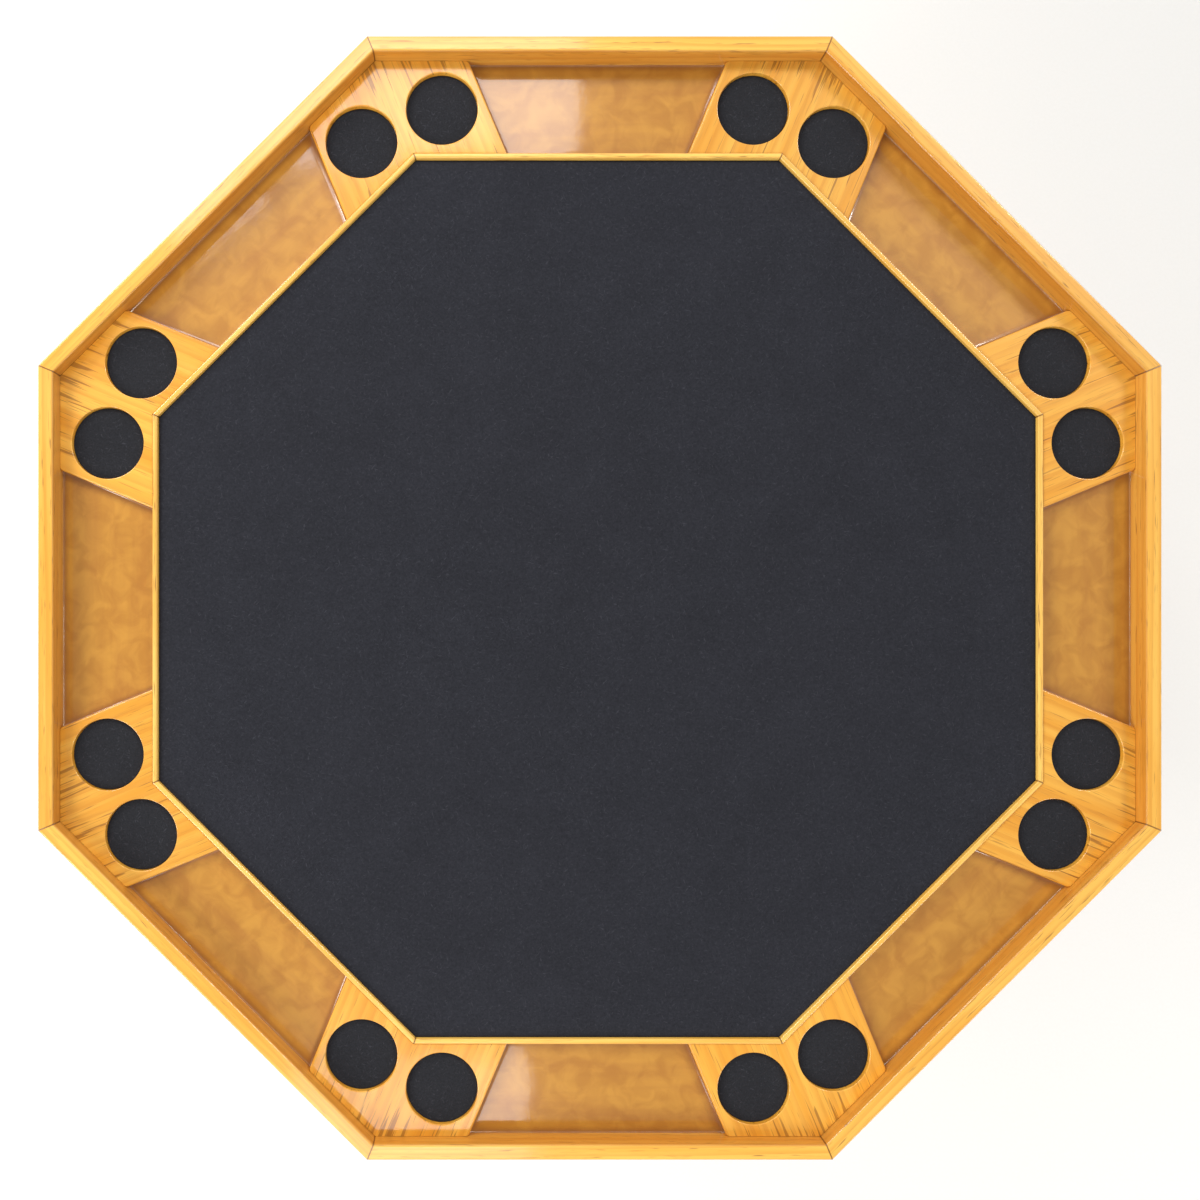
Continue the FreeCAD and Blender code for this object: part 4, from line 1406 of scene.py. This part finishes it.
@dataclass
class Pedestal:
    """The octagonal column, its feet and their levellers."""

    ease: float = 3.0 * MM
    board_ease: float = 1.2 * MM
    bore_clear: float = 18.0 * MM
    leveller_along: float = 485.0 * MM
    board_oak: LacqueredOak = LacqueredOak(
        "column_oak", layout=Layout(GrainRun.UPRIGHT), tone_mm=36.0, ring_mm=9.0, coat=0.6,
        coat_roughness=0.16,
    )
    foot_oak: LacqueredOak = LacqueredOak(
        "foot_oak", layout=Layout(GrainRun.OUTWARD, boards=4, first_deg=45.0), tone_mm=36.0, ring_mm=9.0,
        coat=0.6, coat_roughness=0.16,
    )

    def clear_of_bores(self, point: Vector) -> bool:
        """Whether a point is away from the bores for the levellers."""
        for k in range(4):
            x, y = turned((self.leveller_along, 0.0), math.pi / 4 + k * math.pi / 2)
            if math.hypot(point.x - x, point.y - y) < self.bore_clear:
                return False
        return True

    def build(self, nodes: dict[str, bpy.types.Object], zinc: bpy.types.Material) -> None:
        """Eases the oak's edges and finishes the rest.

        Args:
            nodes: The frame's nodes.
            zinc: The finish of the bolts, nuts and stems.
        """
        feet = eased_copy(nodes["pedestal_feet"], "feet", self.ease, self.clear_of_bores)
        place(feet, Body.CABINET, self.foot_oak.material(), "oak_pedestal", "pedestal_feet")
        column = eased_copy(nodes["pedestal_panels"], "column_boards", self.board_ease)
        place(column, Body.CABINET, self.board_oak.material(), "oak_pedestal", "pedestal_panels")
        dress(nodes, RawTimber("head_ply", "#D9BF92", "#BF9C69", 3.0, 0.15).material(), "pedestal_head")
        dress(nodes, Moulded("black_nylon", "#1B1C1E", "#303133", 0.4).material(), *numbered("leveller_pad"))
        dress(nodes, zinc, "frame_bolts", "leveller_nuts", *numbered("leveller_stem"))


def numbered(stem: str) -> list[str]:
    """The names of the four nodes of one kind at the levellers."""
    return [f"{stem}_{i + 1}" for i in range(4)]


@dataclass(frozen=True)
class Lamp:
    """An area light."""

    name: str
    at: tuple[float, float, float]
    aim: tuple[float, float, float]
    size: Point
    watts: float
    colour: str = "#FFFFFF"


@dataclass
class Studio:
    """A pale floor, a pale room, a soft sun, area lights and the camera."""

    camera_at: tuple[float, float, float] = (-0.16, -0.05, 1.892)
    lens_mm: float = 27.8
    sensor_mm: float = 36.0
    shift: Point = (0.1094, 0.0325)
    floor_radius: float = 14.0
    room_colour: str = "#FFFFFF"
    wall_strength: float = 0.86
    ceiling_strength: float = 0.3
    sun_from: tuple[float, float, float] = (0.8, 0.66, 0.86)
    sun_angle: float = math.radians(14.0)
    sun_strength: float = 1.0
    sun_colour: str = "#FFFAF2"
    lamps: tuple[Lamp, ...] = (
        Lamp("fill", (-3.3, -2.3, 2.7), (-0.5, -0.3, 0.5), (2.4, 1.6), 105.0, "#FFFDF8"),
        Lamp("side", (-2.6, 2.4, 2.7), (-0.6, 0.0, 0.7), (1.4, 1.4), 75.0, "#FFFDF8"),
        Lamp("low", (2.7, -2.7, 2.3), (1.6, -1.6, 0.0), (1.2, 1.2), 26.0),
        Lamp("window_top", (-0.33, 1.46, 2.1), (-0.2, 0.55, 0.75), (0.95, 0.36), 5.2, "#F6F9FF"),
        Lamp("window_corner", (-0.92, 1.2, 2.1), (-0.35, 0.5, 0.75), (0.26, 0.34), 1.4, "#F6F9FF"),
        Lamp("window_low", (-0.32, -1.37, 2.1), (-0.25, -0.6, 0.75), (0.66, 0.34), 2.6, "#F6F9FF"),
    )

    def build(self) -> None:
        """Makes the floor, the lights, the world and the camera."""
        self.floor()
        self.sunlight()
        for lamp in self.lamps:
            self.hang(lamp)
        self.room()
        bpy.context.scene.view_settings.view_transform = "Standard"
        self.camera()

    def room(self) -> None:
        """Surrounds the scene with pale walls under a dimmer ceiling."""
        world = bpy.data.worlds.new("pale_room")
        bpy.context.scene.world = world
        recipe = Recipe(world)
        way = recipe.add("ShaderNodeTexCoord", out="Generated")
        up = recipe.add("ShaderNodeSeparateXYZ", {0: way}, out="Z")
        strength = recipe.ramp(up, (0.35, 0.8), (self.wall_strength, self.ceiling_strength))
        walls = recipe.add("ShaderNodeBackground", {"Color": linear(self.room_colour), "Strength": strength})
        recipe.add("ShaderNodeOutputWorld", {"Surface": walls}, out=None)

    def floor(self) -> None:
        """Lays a round floor of matt paper."""
        mesher = Mesher()
        loops = [level(circle((0.0, 0.0), self.floor_radius * share, 96), 0.0) for share in (1.0, 0.4, 0.1)]
        mesher.cap(mesher.loft(loops)[-1])
        paper = mesher.piece("floor", boards=False)
        recipe = Recipe(bpy.data.materials.new("matt_paper"))
        spot = recipe.add("ShaderNodeTexCoord", out="Object")
        tooth = recipe.add("ShaderNodeTexNoise", {"Vector": spot, "Scale": per_metre(6.0), "Detail": 3.0})
        colour = recipe.blend(tooth, linear("#FAFAF8"), linear("#FFFFFE"))
        paper.data.materials.append(recipe.finish({"Base Color": colour, "Roughness": 0.9}))

    def sunlight(self) -> None:
        """Lights table and floor alike out to the horizon, too low to mirror in the trays from above."""
        data = bpy.data.lights.new("sun", "SUN")
        data.angle = self.sun_angle
        data.energy = self.sun_strength
        data.color = linear(self.sun_colour)[:3]
        made = bpy.data.objects.new("sun", data)
        made.rotation_euler = (-Vector(self.sun_from)).to_track_quat("-Z", "Y").to_euler()
        bpy.context.scene.collection.objects.link(made)

    def hang(self, lamp: Lamp) -> None:
        """Hangs one area light.

        Args:
            lamp: Its place, aim, size and power.
        """
        data = bpy.data.lights.new(lamp.name, "AREA")
        data.shape = "RECTANGLE"
        data.size, data.size_y = lamp.size
        data.energy = lamp.watts
        data.color = linear(lamp.colour)[:3]
        made = bpy.data.objects.new(lamp.name, data)
        made.location = lamp.at
        made.rotation_euler = (Vector(lamp.aim) - Vector(lamp.at)).to_track_quat("-Z", "Y").to_euler()
        bpy.context.scene.collection.objects.link(made)

    def camera(self) -> None:
        """Sets the camera above the table, looking straight down, with the table brought to the middle."""
        data = bpy.data.cameras.new("camera")
        data.lens = self.lens_mm
        data.sensor_width = self.sensor_mm
        data.shift_x, data.shift_y = self.shift
        made = bpy.data.objects.new("camera", data)
        made.location = self.camera_at
        bpy.context.scene.collection.objects.link(made)
        bpy.context.scene.camera = made


def main() -> None:
    """Builds the table in the frame, then the studio round it."""
    logging.basicConfig(level=logging.INFO, format="%(message)s")
    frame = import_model()
    nodes = frame["nodes"]
    zinc = ZincPlate("zinc_plate").material()
    RimRails().build()
    CornerBlocks().build()
    ChipTrays().build()
    PokerField().build()
    TopBoards().dress(nodes, zinc)
    BallField().build(nodes, zinc)
    Cabinet().build(nodes)
    Pedestal().build(nodes, zinc)
    Studio().build()


if __name__ == "__main__":
    main()
